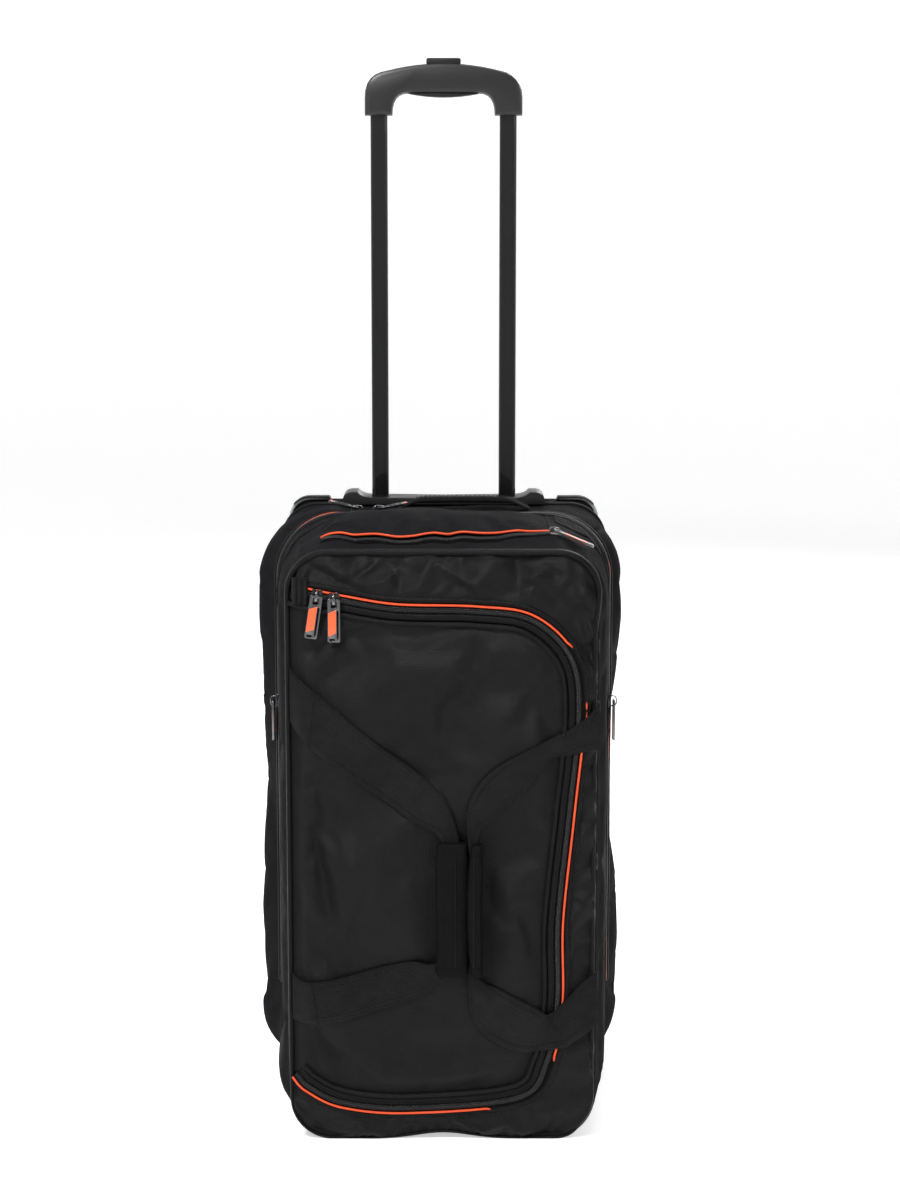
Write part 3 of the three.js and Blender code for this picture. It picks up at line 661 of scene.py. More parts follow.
def settled(x, y, z):
    """A point of the outline where the soft bag has sagged or bulged; returns its x and z."""
    behind = float(smoothstep(y, 0.041, 0.070) * (1 - smoothstep(y, 0.088, 0.106))) * x / 0.16
    if x > 0:
        x -= 0.0125 * math.exp(-((z - 0.30) / 0.085) ** 2) * behind
    else:
        x += (0.0045 + 0.002 * math.cos((z - 0.44) / 0.047)) * behind
        low = math.exp(-((z - 0.035) / 0.035) ** 2)
        x -= 0.007 * low * float(smoothstep(y, WELT_Y, -0.085)) * float(smoothstep(-x, 0.06, 0.13))
    arch = math.exp(-(x / 0.034) ** 2) * (1 - float(smoothstep(z, 0.010, 0.045)))
    return x, z + 0.0060 * arch * (1 - float(smoothstep(y, -0.114, -0.100)))


def fraction_at(y):
    """The fraction of the profile that lies at depth y."""
    steps = np.linspace(0, 1, 400)
    return float(np.interp(y, [profile_at(v)[0] for v in steps], steps))


def skin_grid(u_from, u_to, columns):
    """Points of the skin between two places on the outline: rows go back, columns go round."""
    grid = np.empty((SKIN_ROWS, columns, 3))
    for i, v in enumerate(np.linspace(fraction_at(WELT_Y), 1, SKIN_ROWS)):
        y, half, top, bottom, radius = profile_at(v)
        for j, u in enumerate(even_u(u_from, u_to, columns, half, top, bottom, radius)):
            x, z = on_outline(half, top, bottom, radius, u)
            x, z = settled(x, y, z)
            grid[i, j] = (x, y, z)
    return grid


def even_u(u_from, u_to, columns, half, top, bottom, radius):
    """Values of u at even steps along the outline."""
    fine = np.linspace(u_from, u_to, 120)
    line = np.array([on_outline(half, top, bottom, radius, u) for u in fine])
    along = lengths_along(line)
    return np.interp(np.linspace(0, along[-1], columns), along, fine)


def roughen(grid, amount, size, seed, free=1.0):
    """A first small unevenness, so that the cloth buckles in its own way."""
    normal = grid_normals(grid)
    free = np.broadcast_to(free, grid.shape[:2])
    for i in range(1, grid.shape[0] - 1):
        for j in range(1, grid.shape[1] - 1):
            grid[i, j] += free[i, j] * amount * ripple(grid[i, j], size, seed) * normal[i, j]
    return grid


SKIN_PANELS = [
    # name, CAD node, from, to, columns, seed
    ("right_side_cover", "right_side_panel", 1.5, 3.5, 96, 1.3),
    ("top_end_cover", "top_end_panel", 3.5, 5.5, 60, 2.7),
    ("left_side_cover", "left_side_panel", 5.5, 7.5, 96, 4.1),
    ("bottom_end_cover", "bottom_end_panel", -0.5, 1.5, 60, 5.9),
]
SKIN_ROWS = 52


def cut_wheel_corners(made):
    """Takes the wheel housings' corners out of a skin piece."""
    for side in ("left", "right"):
        low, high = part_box(side + "_wheel_housing")
        gap = 0.0006
        x0, x1 = (low.x - 0.08, high.x + gap) if side == "left" else (low.x - gap, high.x + 0.08)
        corners = [(x, y, z) for x in (x0, x1) for y in (low.y - gap, 0.2) for z in (-0.05, high.z + gap)]
        faces = [[0, 1, 3, 2], [4, 6, 7, 5], [0, 4, 5, 1], [2, 3, 7, 6], [0, 2, 6, 4], [1, 5, 7, 3]]
        tool = mesh_object("corner_tool", corners, faces, FABRIC, smooth=False)
        cutter = made.modifiers.new("corner", "BOOLEAN")
        cutter.operation = "DIFFERENCE"
        cutter.solver = "EXACT"
        cutter.object = tool
        apply_modifiers(made)
        bpy.data.objects.remove(tool)


def make_wheel_pockets():
    """Cloth walls that close the bag where the wheel housings' corners are taken out."""
    for side, (start, end) in (("right", (0.9, 2.15)), ("left", (6.85, 8.1))):
        low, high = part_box(side + "_wheel_housing")
        y, top = low.y - 0.0012, high.z + 0.0010
        edge, out = girth(y, start, end, 60)
        edge = (edge - 0.0012 * out)[edge[:, 2] <= top + 0.0015]
        inner = low.x - 0.002 if side == "right" else high.x + 0.002
        corner = np.array([inner, y, top])
        wall = np.array([edge + t * (corner - edge) for t in np.linspace(0, 0.97, 12)])
        front = slab(side + "_wheel_pocket_front", facing(wall, 6, 20, TO_BACK),
                     WHEEL_POCKET_THICKNESS, [SIDE_FABRIC_PAINTED_SHEEN, LINING])
        piece(front, "bag", "fabric")
        roof = np.empty((16, 12, 3))
        for i, depth in enumerate(np.linspace(y, BOARD_Y - 0.0050, 16)):
            ring, _ = girth(depth, start, end, 120, lift=-0.0012)
            reach = ring[np.argmin(abs(ring[:, 2] - top))][0]
            roof[i] = [(inner + t * (reach - inner), depth, top) for t in np.linspace(0, 1, 12)]
        cover = slab(side + "_wheel_pocket_roof", facing(roof, 8, 6, (0, 0, -1)),
                     WHEEL_POCKET_THICKNESS, [SIDE_FABRIC_PAINTED_SHEEN, LINING])
        piece(cover, "bag", "fabric")


def apply_modifiers(made):
    """Turns the mesh into what its modifiers show."""
    bpy.context.view_layer.update()
    evaluated = made.evaluated_get(bpy.context.evaluated_depsgraph_get())
    mesh = bpy.data.meshes.new_from_object(evaluated)
    made.modifiers.clear()
    made.data = mesh


def make_skin():
    """The four panels between the front face and the board; returns their outsides."""
    seams = (WELT_Y, RING_Y, BACK_SEAM_Y)
    grids = []
    for name, cad, start, end, columns, seed in SKIN_PANELS:
        grid = skin_grid(end, start, columns)
        free = np.prod([smoothstep(np.abs(grid[:, :, 1] - y), 0.004, 0.022) for y in seams], axis=0)
        grid = roughen(grid, 0.0012, 0.075, seed, free)
        sewn = [int(np.argmin(abs(grid[:, 0, 1] - y))) for y in seams]
        grid = crumpled_grid(grid, pinned_rows=sewn, free=free, grow=0.012, pressure=0.25, cap=0.0036)
        # The side cover's lighter colour is painted sheen.
        cover = slab(name, grid, SKIN_THICKNESS, [SIDE_FABRIC_PAINTED_SHEEN, LINING])
        if cad != "top_end_panel":
            cut_wheel_corners(cover)
        piece(cover, "bag", "fabric", cad)
        grids.append(grid)
    return grids


# ------------------------------------------------------------------ front face
def zip_path(distance=0.0, count=240):
    """The main zip as evenly spaced points (x, z), moved sideways by a distance."""
    return offset_line(catmull(ZIP_LINE, count), distance)


def rolled(x):
    """How far the front cloth has rolled back towards its sewn edge on the left."""
    return (WELT_Y - FRONT_Y) * (1 - smoothstep(x, LID_LEFT - 0.0125, LID_LEFT + 0.004)) ** 1.5


def front_plane(line, y=FRONT_Y):
    """(x, z) points set on the front face."""
    return np.array([(x, y + rolled(x), z) for x, z in line])


def coons(bottom, top, left, right):
    """A grid that fills four edge curves: rows run from bottom to top."""
    rows, columns = len(left), len(bottom)
    grid = np.empty((rows, columns, 3))
    for i, t in enumerate(np.linspace(0, 1, rows)):
        for j, s in enumerate(np.linspace(0, 1, columns)):
            corners = ((1 - s) * (1 - t) * bottom[0] + s * (1 - t) * bottom[-1]
                       + (1 - s) * t * top[0] + s * t * top[-1])
            grid[i, j] = ((1 - t) * bottom[j] + t * top[j] + (1 - s) * left[i] + s * right[i] - corners)
    return grid


def creased(grid, folds, width=0.0055):
    """The front cloth with its creases pressed in or out, before it is let go."""
    x, z = grid[:, :, 0], grid[:, :, 2]
    for x0, z0, x1, z1, depth in folds:
        length = math.hypot(x1 - x0, z1 - z0)
        along = ((x - x0) * (x1 - x0) + (z - z0) * (z1 - z0)) / length ** 2
        beside = np.abs((x - x0) * (z1 - z0) - (z - z0) * (x1 - x0)) / length
        ends = smoothstep(along, -0.15, 0.3) * (1 - smoothstep(along, 0.7, 1.15))
        grid[:, :, 1] += depth * ends * np.exp(-(beside / width) ** 1.4)
    return grid


def front_outline(u_from, u_to, count):
    """Points (x, z) of the front face's sewn edge."""
    _, half, top, bottom, radius = profile_at(fraction_at(WELT_Y))
    turns = even_u(u_from, u_to, count, half, top, bottom, radius)
    return np.array([settled(x, WELT_Y, z) for x, z in
                     (on_outline(half, top, bottom, radius, u) for u in turns)])


def lid_grid():
    """The lid's outside, from its sewn edge on the left to the zip."""
    edge = zip_path(-0.0022, 481)
    rows, columns = 110, 64
    top_end = int(np.argmin(np.linalg.norm(edge - np.array([0.104, 0.455]), axis=1)))
    low_end = int(np.argmin(np.linalg.norm(edge - np.array([0.084, 0.055]), axis=1)))
    sewn = front_outline(7.0, 5.8, 400)
    high = np.argmin(abs(sewn[:, 1] - LID_CORNERS[0]))
    low = np.argmin(abs(sewn[:, 1] - LID_CORNERS[1]))
    left = front_plane(resample(sewn[low:high + 1], rows))
    top = front_plane(resample(np.vstack([sewn[high], edge[:top_end + 1]]), columns))
    right = front_plane(resample(edge[top_end:low_end + 1][::-1], rows))
    bottom = front_plane(resample(np.vstack([sewn[low], edge[low_end:][::-1]]), columns))
    grid = coons(bottom, top, left, right)
    across = np.linspace(0, 1, columns)[None, :]
    up = np.linspace(0, 1, rows)[:, None]
    swell = 0.0030 * (np.sin(math.pi * across) ** 0.6) * (np.sin(math.pi * up) ** 0.5)
    grid[:, :, 1] = FRONT_Y - swell + rolled(grid[:, :, 0])
    return grid


def clear_of(grid, line, near, far):
    """A share for each point of a front grid: 0 within near of a line, 1 beyond far."""
    flat = grid[:, :, [0, 2]].reshape(-1, 1, 2)
    distance = np.sqrt(((flat - line[None, :, :]) ** 2).sum(2)).min(1)
    return smoothstep(distance.reshape(grid.shape[:2]), near, far)


def make_lid():
    """The lid panel, pressed flat under the grip sleeves and the zip pulls; returns its outside."""
    grid = lid_grid()
    free = clear_of(grid, zip_path(0.0, 160), 0.010, 0.034)
    free = free * smoothstep(grid[:, :, 0], LID_LEFT - 0.010, LID_LEFT + 0.012)
    grid = roughen(grid, 0.0026, 0.055, 7.7, free)
    flat = grid.copy()
    grid = flat + free[:, :, None] * (creased(grid, LID_FOLDS, 0.0080) - flat)
    grid = crumpled_grid(grid, free=free, grow=0.024, pressure=-0.1, cap=0.0065, bending=0.7)
    for side in ("left", "right"):
        low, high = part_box(side + "_grip_sleeve")
        x, z = grid[:, :, 0], grid[:, :, 2]
        beside = np.maximum(np.maximum(low.x - x, x - high.x), np.maximum(low.z - z, z - high.z))
        limit = FRONT_Y - 0.0012 - 0.0060 * smoothstep(beside, 0.0, 0.030)
        grid[:, :, 1] = np.maximum(grid[:, :, 1], limit)
    under_pulls = FRONT_Y - 0.0038 - 0.0060 * (1 - smoothstep(grid[:, :, 2], 0.420, 0.455))
    grid[:, :, 1] = np.maximum(grid[:, :, 1], under_pulls)
    cover = slab("lid_cover", grid, LID_THICKNESS, [FABRIC, LINING])
    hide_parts("lid_panel")
    lid_fold(cover)
    return grid


def make_rim():
    """The fixed front fabric: above, right of and below the zip; returns its outside."""
    rows, columns = 16, 301
    inner = zip_path(0.0036, columns)
    sewn = front_outline(5.7, -1.2, 1400)
    upper = np.argmin(abs(sewn[:300, 1] - RIM_CORNERS[0]))
    lower = len(sewn) - 300 + np.argmin(abs(sewn[-300:, 1] - RIM_CORNERS[1]))
    outer = resample(sewn[upper:lower + 1], columns)
    share = np.linspace(0, 1, rows)
    grid = np.empty((rows, columns, 3))
    for i, t in enumerate(share):
        grid[i] = front_plane((1 - t) * inner + t * outer, FRONT_Y + (WELT_Y - FRONT_Y) * t ** 3)
    grid[:, :, 1] -= 0.0016 * np.sin(math.pi * share)[:, None]
    grid[:, :, 1] = np.minimum(grid[:, :, 1], WELT_Y)
    free = smoothstep(share, 0.02, 0.36)[:, None] * np.ones((1, columns))
    grid = roughen(grid, 0.0020, 0.035, 3.3, free)
    flat = grid.copy()
    grid = flat + free[:, :, None] * (creased(grid, RIM_FOLDS) - flat)
    grid = crumpled_grid(grid, free=free, grow=0.035, pressure=0.1, cap=0.0055, bending=0.3)
    cover = slab("front_rim_cover", grid, RIM_THICKNESS, [FABRIC, LINING])
    piece(cover, "bag", "fabric", "front_rim")
    return grid


# ------------------------------------------------------------------ laying things on the cloth
def surface_tree(grids):
    """A search tree over the outsides of several grids."""
    points, faces = [], []
    for grid in grids:
        faces += grid_faces(*grid.shape[:2], start=len(points))
        points += [tuple(p) for p in grid.reshape(-1, 3)]
    return BVHTree.FromPolygons(points, faces)


def laid(path, tree, lift=0.0):
    """The path's points moved to the nearest cloth, and lifted off it."""
    result = []
    for point in path:
        place, normal, _, _ = tree.find_nearest(Vector(point))
        result.append(place + lift * normal)
    return np.array(result)


def front_depth(x, z, tree):
    """Y of the first cloth met from the front, or of the front plane where there is none."""
    place, _, _, _ = tree.ray_cast(Vector((x, -0.3, z)), Vector((0, 1, 0)), 0.25)
    return place.y if place is not None else FRONT_Y


def smoothed(values, passes):
    """A grid of numbers averaged with its neighbours, edges kept."""
    for _ in range(passes):
        padded = np.pad(values, 1, mode="edge")
        values = (2 * padded[1:-1, 1:-1] + padded[:-2, 1:-1] + padded[2:, 1:-1]
                  + padded[1:-1, :-2] + padded[1:-1, 2:]) / 6
    return values


def along_normals(path, out):
    """Unit vectors across a path, from its tangent and its outward directions."""
    tangent = np.gradient(path, axis=0)
    return unit(np.cross(out, tangent))


def strip(name, path, out, across, low, high, height, thickness, material, columns=4):
    """A flat band beside a path, from low to high across it, height above it."""
    grid = np.empty((len(path), columns, 3))
    for j, offset in enumerate(np.linspace(low, high, columns)):
        grid[:, j] = path + offset * across + height * out
    middle = len(path) // 2
    return slab(name, facing(grid, middle, 0, out[middle]), thickness, material)


COIL_PITCH = 0.0014
TOOTH = [(-0.0004, 0.0011), (0.0007, 0.0016), (0.0019, 0.0011), (0.0023, 0.0001)]  # across, out


def coil(name, path, out, across, side):
    """One side of a zip's coil: a bent tooth at every pitch, reaching over the middle line."""
    along = lengths_along(path)
    wanted = np.arange(COIL_PITCH * (0.5 if side > 0 else 1.0), along[-1], COIL_PITCH)
    place, up, over = (sampled(values, along, wanted) for values in (path, out, across))
    ahead = np.cross(over, up)
    profile = np.array(TOOTH)
    bend = unit(np.gradient(profile, axis=0))
    sides, radius = 5, 0.00045
    rings = []
    for (a, h), (da, dh) in zip(profile, bend):
        for angle in np.linspace(0, 2 * math.pi, sides, endpoint=False):
            c, s = radius * math.cos(angle), radius * math.sin(angle)
            rings.append(place + side * (a - s * dh) * over + (h + s * da) * up + c * ahead)
    per = len(rings)
    points = np.stack(rings, 1).reshape(-1, 3)
    faces = []
    for tooth in range(len(wanted)):
        start = tooth * per
        faces += grid_faces(len(TOOTH), sides, start=start, closed=True, flip=side < 0)
        ends = [list(range(start, start + sides)), list(range(start + per - sides, start + per))]
        faces.append(ends[0] if side < 0 else ends[0][::-1])
        faces.append(ends[1][::-1] if side < 0 else ends[1])
    return mesh_object(name, points, faces, COIL)


def stitches(name, path, out, length=0.0028, gap=0.0014, radius=0.00028):
    """A row of thread stitches that follows a path."""
    along = lengths_along(path)
    starts = np.arange(gap, along[-1] - length, length + gap)
    points, faces, sides = [], [], 5
    for start in starts:
        wanted = start + length * np.linspace(0, 1, 4)
        line = sampled(path, along, wanted)
        up = sampled(out, along, wanted)
        ahead = line[-1] - line[0]
        ahead /= np.linalg.norm(ahead)
        for k, arch in enumerate((0.0, 0.6, 0.6, 0.0)):
            over = np.cross(up[k], ahead)
            for angle in np.linspace(0, 2 * math.pi, sides, endpoint=False):
                points.append(line[k] + radius * (math.cos(angle) * over
                                                  + (math.sin(angle) + arch) * up[k]))
        first = len(points) - 4 * sides
        faces += grid_faces(4, sides, start=first, closed=True)
        faces.append(list(range(first, first + sides))[::-1])
        faces.append(list(range(first + 3 * sides, first + 4 * sides)))
    return mesh_object(name, points, faces, THREAD)


def loft(name, path, side, up, half_width, half_height, material, power=2.6, sides=28):
    """A padded roll along a path: rounded sections that can change width and height."""
    path = np.asarray(path, float)
    count = len(path)
    wide = np.broadcast_to(np.asarray(half_width, float), (count,))
    high = np.broadcast_to(np.asarray(half_height, float), (count,))
    side = np.broadcast_to(np.asarray(side, float), (count, 3))
    up = np.broadcast_to(np.asarray(up, float), (count, 3))
    points = []
    for k in range(count):
        for a in np.linspace(0, 2 * math.pi, sides, endpoint=False):
            c, s = math.cos(a), math.sin(a)
            w = math.copysign(abs(c) ** (2 / power), c)
            h = math.copysign(abs(s) ** (2 / power), s)
            points.append(path[k] + wide[k] * w * side[k] + high[k] * h * up[k])
    faces = grid_faces(count, sides, closed=True)
    faces.append(list(range(sides))[::-1])
    faces.append(list(range((count - 1) * sides, count * sides)))
    made = mesh_object(name, points, faces, material)
    with mesh_work(made.data) as work:
        bmesh.ops.recalc_face_normals(work, faces=work.faces)
    return smooth_by_angle(made, 60)


# ------------------------------------------------------------------ zips and welts on the skin
def girth(y, u_from, u_to, count, lift=0.0):
    """Points round the bag at depth y, and the directions that point out of it there."""
    _, half, top, bottom, radius = profile_at(fraction_at(y))
    turns = even_u(u_from, u_to, count, half, top, bottom, radius)
    flat = np.array([on_outline(half, top, bottom, radius, u) for u in turns])
    moved = [settled(x, y, z) for x, z in flat]
    path = np.array([(x, y, z) for x, z in moved])
    tangent = unit(np.gradient(flat, axis=0))
    out = np.stack([tangent[:, 1], np.zeros(count), -tangent[:, 0]], 1)
    return path + np.broadcast_to(lift, (count,))[:, None] * out, out


def make_seams(skin):
    """Welts where the bag's panels meet at the front and at the back."""
    path, out = girth(WELT_Y, -0.5, 7.5, 420)
    x, z = path[:, 0], path[:, 2]
    plain = smoothstep(x, 0.110, 0.130) * (1 - smoothstep(z, 0.46, 0.50))
    low = 1 - smoothstep(z, 0.02, 0.10)
    stout = WELT * (1 + 0.35 * smoothstep(z, 0.49, 0.53)) * (1 - 0.45 * low)
    path += (0.0008 - 0.0034 * plain)[:, None] * out
    front = tube("front_edge_welt", path[:-1], stout[:-1], BINDING, sides=12, closed=True)
    piece(front, "bag", "fabric")
    path, _ = girth(BACK_SEAM_Y, 2.05, 6.95, 320)
    back = tube("back_seam_welt", laid(path, skin, 0.0006), 0.0019, BINDING, sides=10)
    piece(back, "bag", "fabric")


def piping_lift(path):
    """How far the ring zip's piping stands out of the cloth along a path."""
    shown = np.zeros(len(path))
    for side, low, high in RING_PIPING_SHOWN:
        here = smoothstep(path[:, 2], low - 0.006, low + 0.004)
        here = here * (1 - smoothstep(path[:, 2], high - 0.004, high + 0.006))
        shown = np.maximum(shown, here * (side * path[:, 0] > 0.10))
    shown = np.maximum(shown, 0.75 * (path[:, 2] > 0.530) * (1 - smoothstep(path[:, 0], -0.100, -0.088)))
    return -0.0016 + 0.0036 * shown


def make_ring_zip(skin):
    """The zip that runs up one side, over the top end and down the other."""
    path, out = girth(RING_Y, 2.08, 6.92, 420)
    path = laid(path, skin, 0.0002)
    back = np.broadcast_to(TO_BACK, path.shape)
    tape = strip("ring_zip_tape", path, out, back, -0.0062, 0.0062, 0.0006, 0.0005, TAPE, 7)
    piece(tape, "bag", "fabric")
    for side in (-1, 1):
        teeth = coil("ring_zip_teeth_" + ("front" if side < 0 else "back"),
                     path + 0.0005 * out, out, back, side)
        piece(teeth, "bag", "zip_metal")
    cord = path + 0.0062 * back + piping_lift(path)[:, None] * out
    piece(tube("ring_zip_piping", cord, PIPING, ORANGE, sides=10), "bag", "fabric")
    for name, offset in (("front", -0.0066), ("back", 0.0088)):
        edge = laid(path + offset * back, skin, 0.0006)
        piece(tube(f"ring_zip_{name}_welt", edge, 0.0015, BINDING, sides=10), "bag", "fabric")


def make_gusset(skin):
    """Ribbed bands over both top corners, in front of the ring zip."""
    for name, start, end in (("right", 2.94, 3.9), ("left", 5.1, 6.06)):
        path, out = girth(RING_Y - 0.019, start, end, 70)
        grid = np.empty((len(path), 9, 3))
        for j, y in enumerate(np.linspace(-0.011, 0.011, 9)):
            lift = 0.0008 + 0.0006 * math.sin(math.pi * j / 8)
            grid[:, j] = laid(path + np.array([0, y, 0]), skin, lift)
        grid = facing(grid, 35, 4, out[35])
        piece(slab(name + "_corner_gusset", grid, 0.0012, GUSSET), "bag", "fabric")


def lid_fold(made):
    """Bakes a piece on the lid into its place in the world."""
    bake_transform(made)


def make_main_zip(front):
    """The big zip round the lid: one half on the rim with the orange piping, one half on the lid."""
    flat = zip_path(count=520)
    path = front_plane(flat, FRONT_Y - 0.0004)
    outward = (offset_line(flat, 1.0) - flat)
    across = np.stack([outward[:, 0], np.zeros(len(flat)), outward[:, 1]], 1)
    out = np.broadcast_to(TO_FRONT, path.shape)

    rim_tape = strip("main_zip_rim_tape", path, out, across, 0.0003, 0.0050, 0.0002, 0.0006, TAPE)
    piece(rim_tape, "bag", "fabric")
    piece(coil("main_zip_rim_teeth", path, out, across, 1), "bag", "zip_metal")
    upper = smoothstep(path[:, 0], 0.104, 0.110) * smoothstep(path[:, 2], 0.358, 0.368)
    lower = smoothstep(path[:, 0], 0.036, 0.044) * (1 - smoothstep(path[:, 2], 0.074, 0.082))
    hidden = np.maximum(upper, lower)
    cord = path + (0.0046 + 0.0020 * hidden)[:, None] * across + (0.0011 - 0.0027 * hidden)[:, None] * out
    piece(tube("main_zip_piping", cord, PIPING, ORANGE, sides=12), "bag", "fabric")
    piece(laid_band("rim_hem", flat, 0.0058, 0.0112, front, BINDING), "bag", "fabric")
    hem = laid(front_plane(offset_line(flat, 0.0100)), front, 0.0016)
    piece(stitches("rim_hem_stitches", hem, out), "bag", "fabric")

    lid_tape = strip("main_zip_lid_tape", path, out, across, -0.0046, -0.0003, 0.0002, 0.0006, TAPE)
    lid_fold(lid_tape)
    lid_fold(coil("main_zip_lid_teeth", path, out, across, -1))
    lid_fold(laid_band("lid_flap", flat, -0.0100, -0.0028, front, BINDING))
    hem = laid(front_plane(offset_line(flat, -0.0046)), front, 0.0016)
    lid_fold(stitches("lid_flap_stitches", hem, out))
    welt = laid(front_plane(offset_line(flat, -0.0122)), front, 0.0012)
    lid_fold(tube("lid_welt", welt, WELT, BINDING, sides=14))


def laid_band(name, flat, low, high, front, material):
    """A raised hem band on the front cloth, between two offsets from the zip's line."""
    columns = 5
    grid = np.empty((len(flat), columns, 3))
    for j, offset in enumerate(np.linspace(low, high, columns)):
        rise = 0.0009 * math.sin(math.pi * (j + 0.35) / (columns - 0.3))
        grid[:, j] = laid(front_plane(offset_line(flat, offset)), front, rise)
    return slab(name, facing(grid, len(flat) // 2, 2, TO_FRONT), 0.0009, material)


def make_zip_tab():
    """The ribbed webbing tab at the main zip's upper end."""
    grid = np.empty((12, 37, 3))
    for i, z in enumerate(np.linspace(0.490, 0.5145, 12)):
        for j, t in enumerate(np.linspace(0, 1, 37)):
            rib = abs(math.sin(3 * math.pi * t)) ** 0.7
            grid[i, j] = (-0.1315 + 0.0140 * t, FRONT_Y - 0.0026 - 0.0016 * rib, z)
    piece(slab("main_zip_tab", grid, 0.0016, WEB), "bag", "webbing")


# ------------------------------------------------------------------ sliders and pulls
SHOULDER_SLOPE = 0.1658  # radians, where the pocket's slider sits
ZIPPERS = {
    # name: slider's body, pull's body, direction out of the cloth, dip of the pull in degrees
    "main_zip_left": ("lid", "main_left_pull", (0, -1, 0), 0),
    "main_zip_right": ("main_right_slider", "main_right_pull", (0, -1, 0), 0),
    "top_pocket_zip": ("bag", "top_pocket_pull", (math.sin(SHOULDER_SLOPE), 0, math.cos(SHOULDER_SLOPE)), 13),
    "ring_zip_left": ("bag", "ring_left_pull", (0, 0, 1), -14),
    "ring_zip_right": ("ring_right_slider", "ring_right_pull", (0, 0, 1), -10),
    "left_side_zip": ("left_side_slider", "left_side_pull", (-1, 0, 0), 0),
    "right_side_zip": ("right_side_slider", "right_side_pull", (1, 0, 0), 0),
}
PULL = 38  # length in millimetres
RING_PULL = 28


def joint_of(child):
    """The hinge that carries a body."""
    return next(j for j in frame["joints"] if j["child"] == child and j["type"] == "hinge")


def millimetres(points, wide=1.0, tall=1.0):
    """Points (x, z) given in millimetres, stretched about the origin."""
    return [(x * wide * MM, z * tall * MM) for x, z in points]


def rounded_ring(width, height, radius, x=0.0, z=0.0):
    """A rounded rectangle round (x, z), anticlockwise, given in millimetres."""
    ring = []
    for k, (sx, sz) in enumerate([(1, -1), (1, 1), (-1, 1), (-1, -1)]):
        for a in np.linspace(0, math.pi / 2, 5):
            angle = a + (k - 1) * math.pi / 2
            ring.append((sx * (width / 2 - radius) + radius * math.cos(angle) + x,
                         sz * (height / 2 - radius) + radius * math.sin(angle) + z))
    return millimetres(ring)


def slider_parts():
    """A slider in its own frame: the cloth 6 mm behind the pin, which runs along X through the origin."""
    spade = [(-3.1, -6), (3.1, -6), (4.4, -3.5), (4.5, 0), (5.0, 2.6), (4.2, 6), (1.6, 6), (0, 3.6),
             (-1.6, 6), (-4.2, 6), (-5.0, 2.6), (-4.5, 0), (-4.4, -3.5)]
    outline = millimetres(spade)
    cap = plate("slider", outline, 2.9 * MM, 4.0 * MM, BLACK_METAL, bevel=0.4 * MM)
    base = plate("slider_base", outline, 4.5 * MM, 5.6 * MM, BLACK_METAL, bevel=0.3 * MM)
    waist = millimetres(spade, 0.55, 0.8)
    core = plate("slider_core", waist, 3.6 * MM, 4.8 * MM, BLACK_METAL)
    arch = [(0, 3.2, -4.8), (0, -0.2, -4.6), (0, -2.1, -3.0), (0, -2.5, 0), (0, -2.1, 3.0),
            (0, -0.2, 4.6), (0, 3.2, 4.8)]
    bridge = tube("slider_bridge", catmull(np.array(arch) * MM, 24), 0.62 * MM, GUNMETAL, sides=10)
    for vertex in bridge.data.vertices:
        vertex.co.x *= 2.2
    return [cap, base, core, bridge]


def pull_parts(size):
    """A pull in the same frame: a metal frame with a loop, an orange insert and an open rail."""
    ring = rounded_ring(11, size, 1.6, z=0.8 - size / 2)
    eye = rounded_ring(5.2, 6.0, 1.2, z=-3.8)
    rail = rounded_ring(1.5, size - 13, 0.7, x=3.3, z=-size / 2 - 2.5)
    foot = rounded_ring(4.6, 2.2, 0.5, x=-1.5, z=3.0 - size)
    body = plate("pull", ring, -1.1 * MM, 1.1 * MM, GUNMETAL, bevel=0.4 * MM, holes=(eye, rail, foot))
    low, high = -size + 6.0, -8.6
    slant = millimetres([(-4.9, low), (2.0, low + 3.0), (2.0, high), (-4.9, high - 3.0)])
    insert = plate("pull_insert", slant, -1.4 * MM, 1.4 * MM, ORANGE_INSERT, bevel=0.3 * MM)
    return [body, insert]


def ring_pull_parts(size):
    """A short pull with one long oval window and an orange tip."""
    outer = rounded_ring(10.6, size, 4.0, z=0.8 - size / 2)
    eye = rounded_ring(5.0, 5.4, 1.6, z=-3.8)
    window = rounded_ring(6.2, size - 15, 2.8, z=-size / 2 - 1.0)
    body = plate("pull", outer, -1.1 * MM, 1.1 * MM, BLACK_METAL, bevel=0.5 * MM, holes=(eye, window))
    tip = rounded_ring(6.4, 2.4, 0.8, z=3.2 - size)
    insert = plate("pull_insert", tip, -1.35 * MM, 1.35 * MM, ORANGE_INSERT, bevel=0.3 * MM)
    return [body, insert]


def make_zippers():
    """Every slider and its pull, set on the hinge that the pull swings on."""
    for name, (slider_body, pull_body, out, dip) in ZIPPERS.items():
        joint = joint_of(pull_body)
        x = -Vector(joint["axis"]).normalized()
        y = -Vector(out).normalized()
        z = x.cross(y)
        place = Matrix((x, y, z)).transposed().to_4x4()
        place.translation = Vector(joint["pos_m"])
        slider = merge(name + "_slider_shell", slider_parts())
        slider.data.transform(place)
        piece(slider, slider_body, "zip_metal", name + "_slider")
        parts = ring_pull_parts(RING_PULL) if name.startswith("ring") else pull_parts(PULL)
        pull = merge(name + "_pull_shell", parts)
        pull.data.transform(place @ Matrix.Rotation(math.radians(dip), 4, "X"))
        piece(pull, pull_body, "pull", name + "_pull")


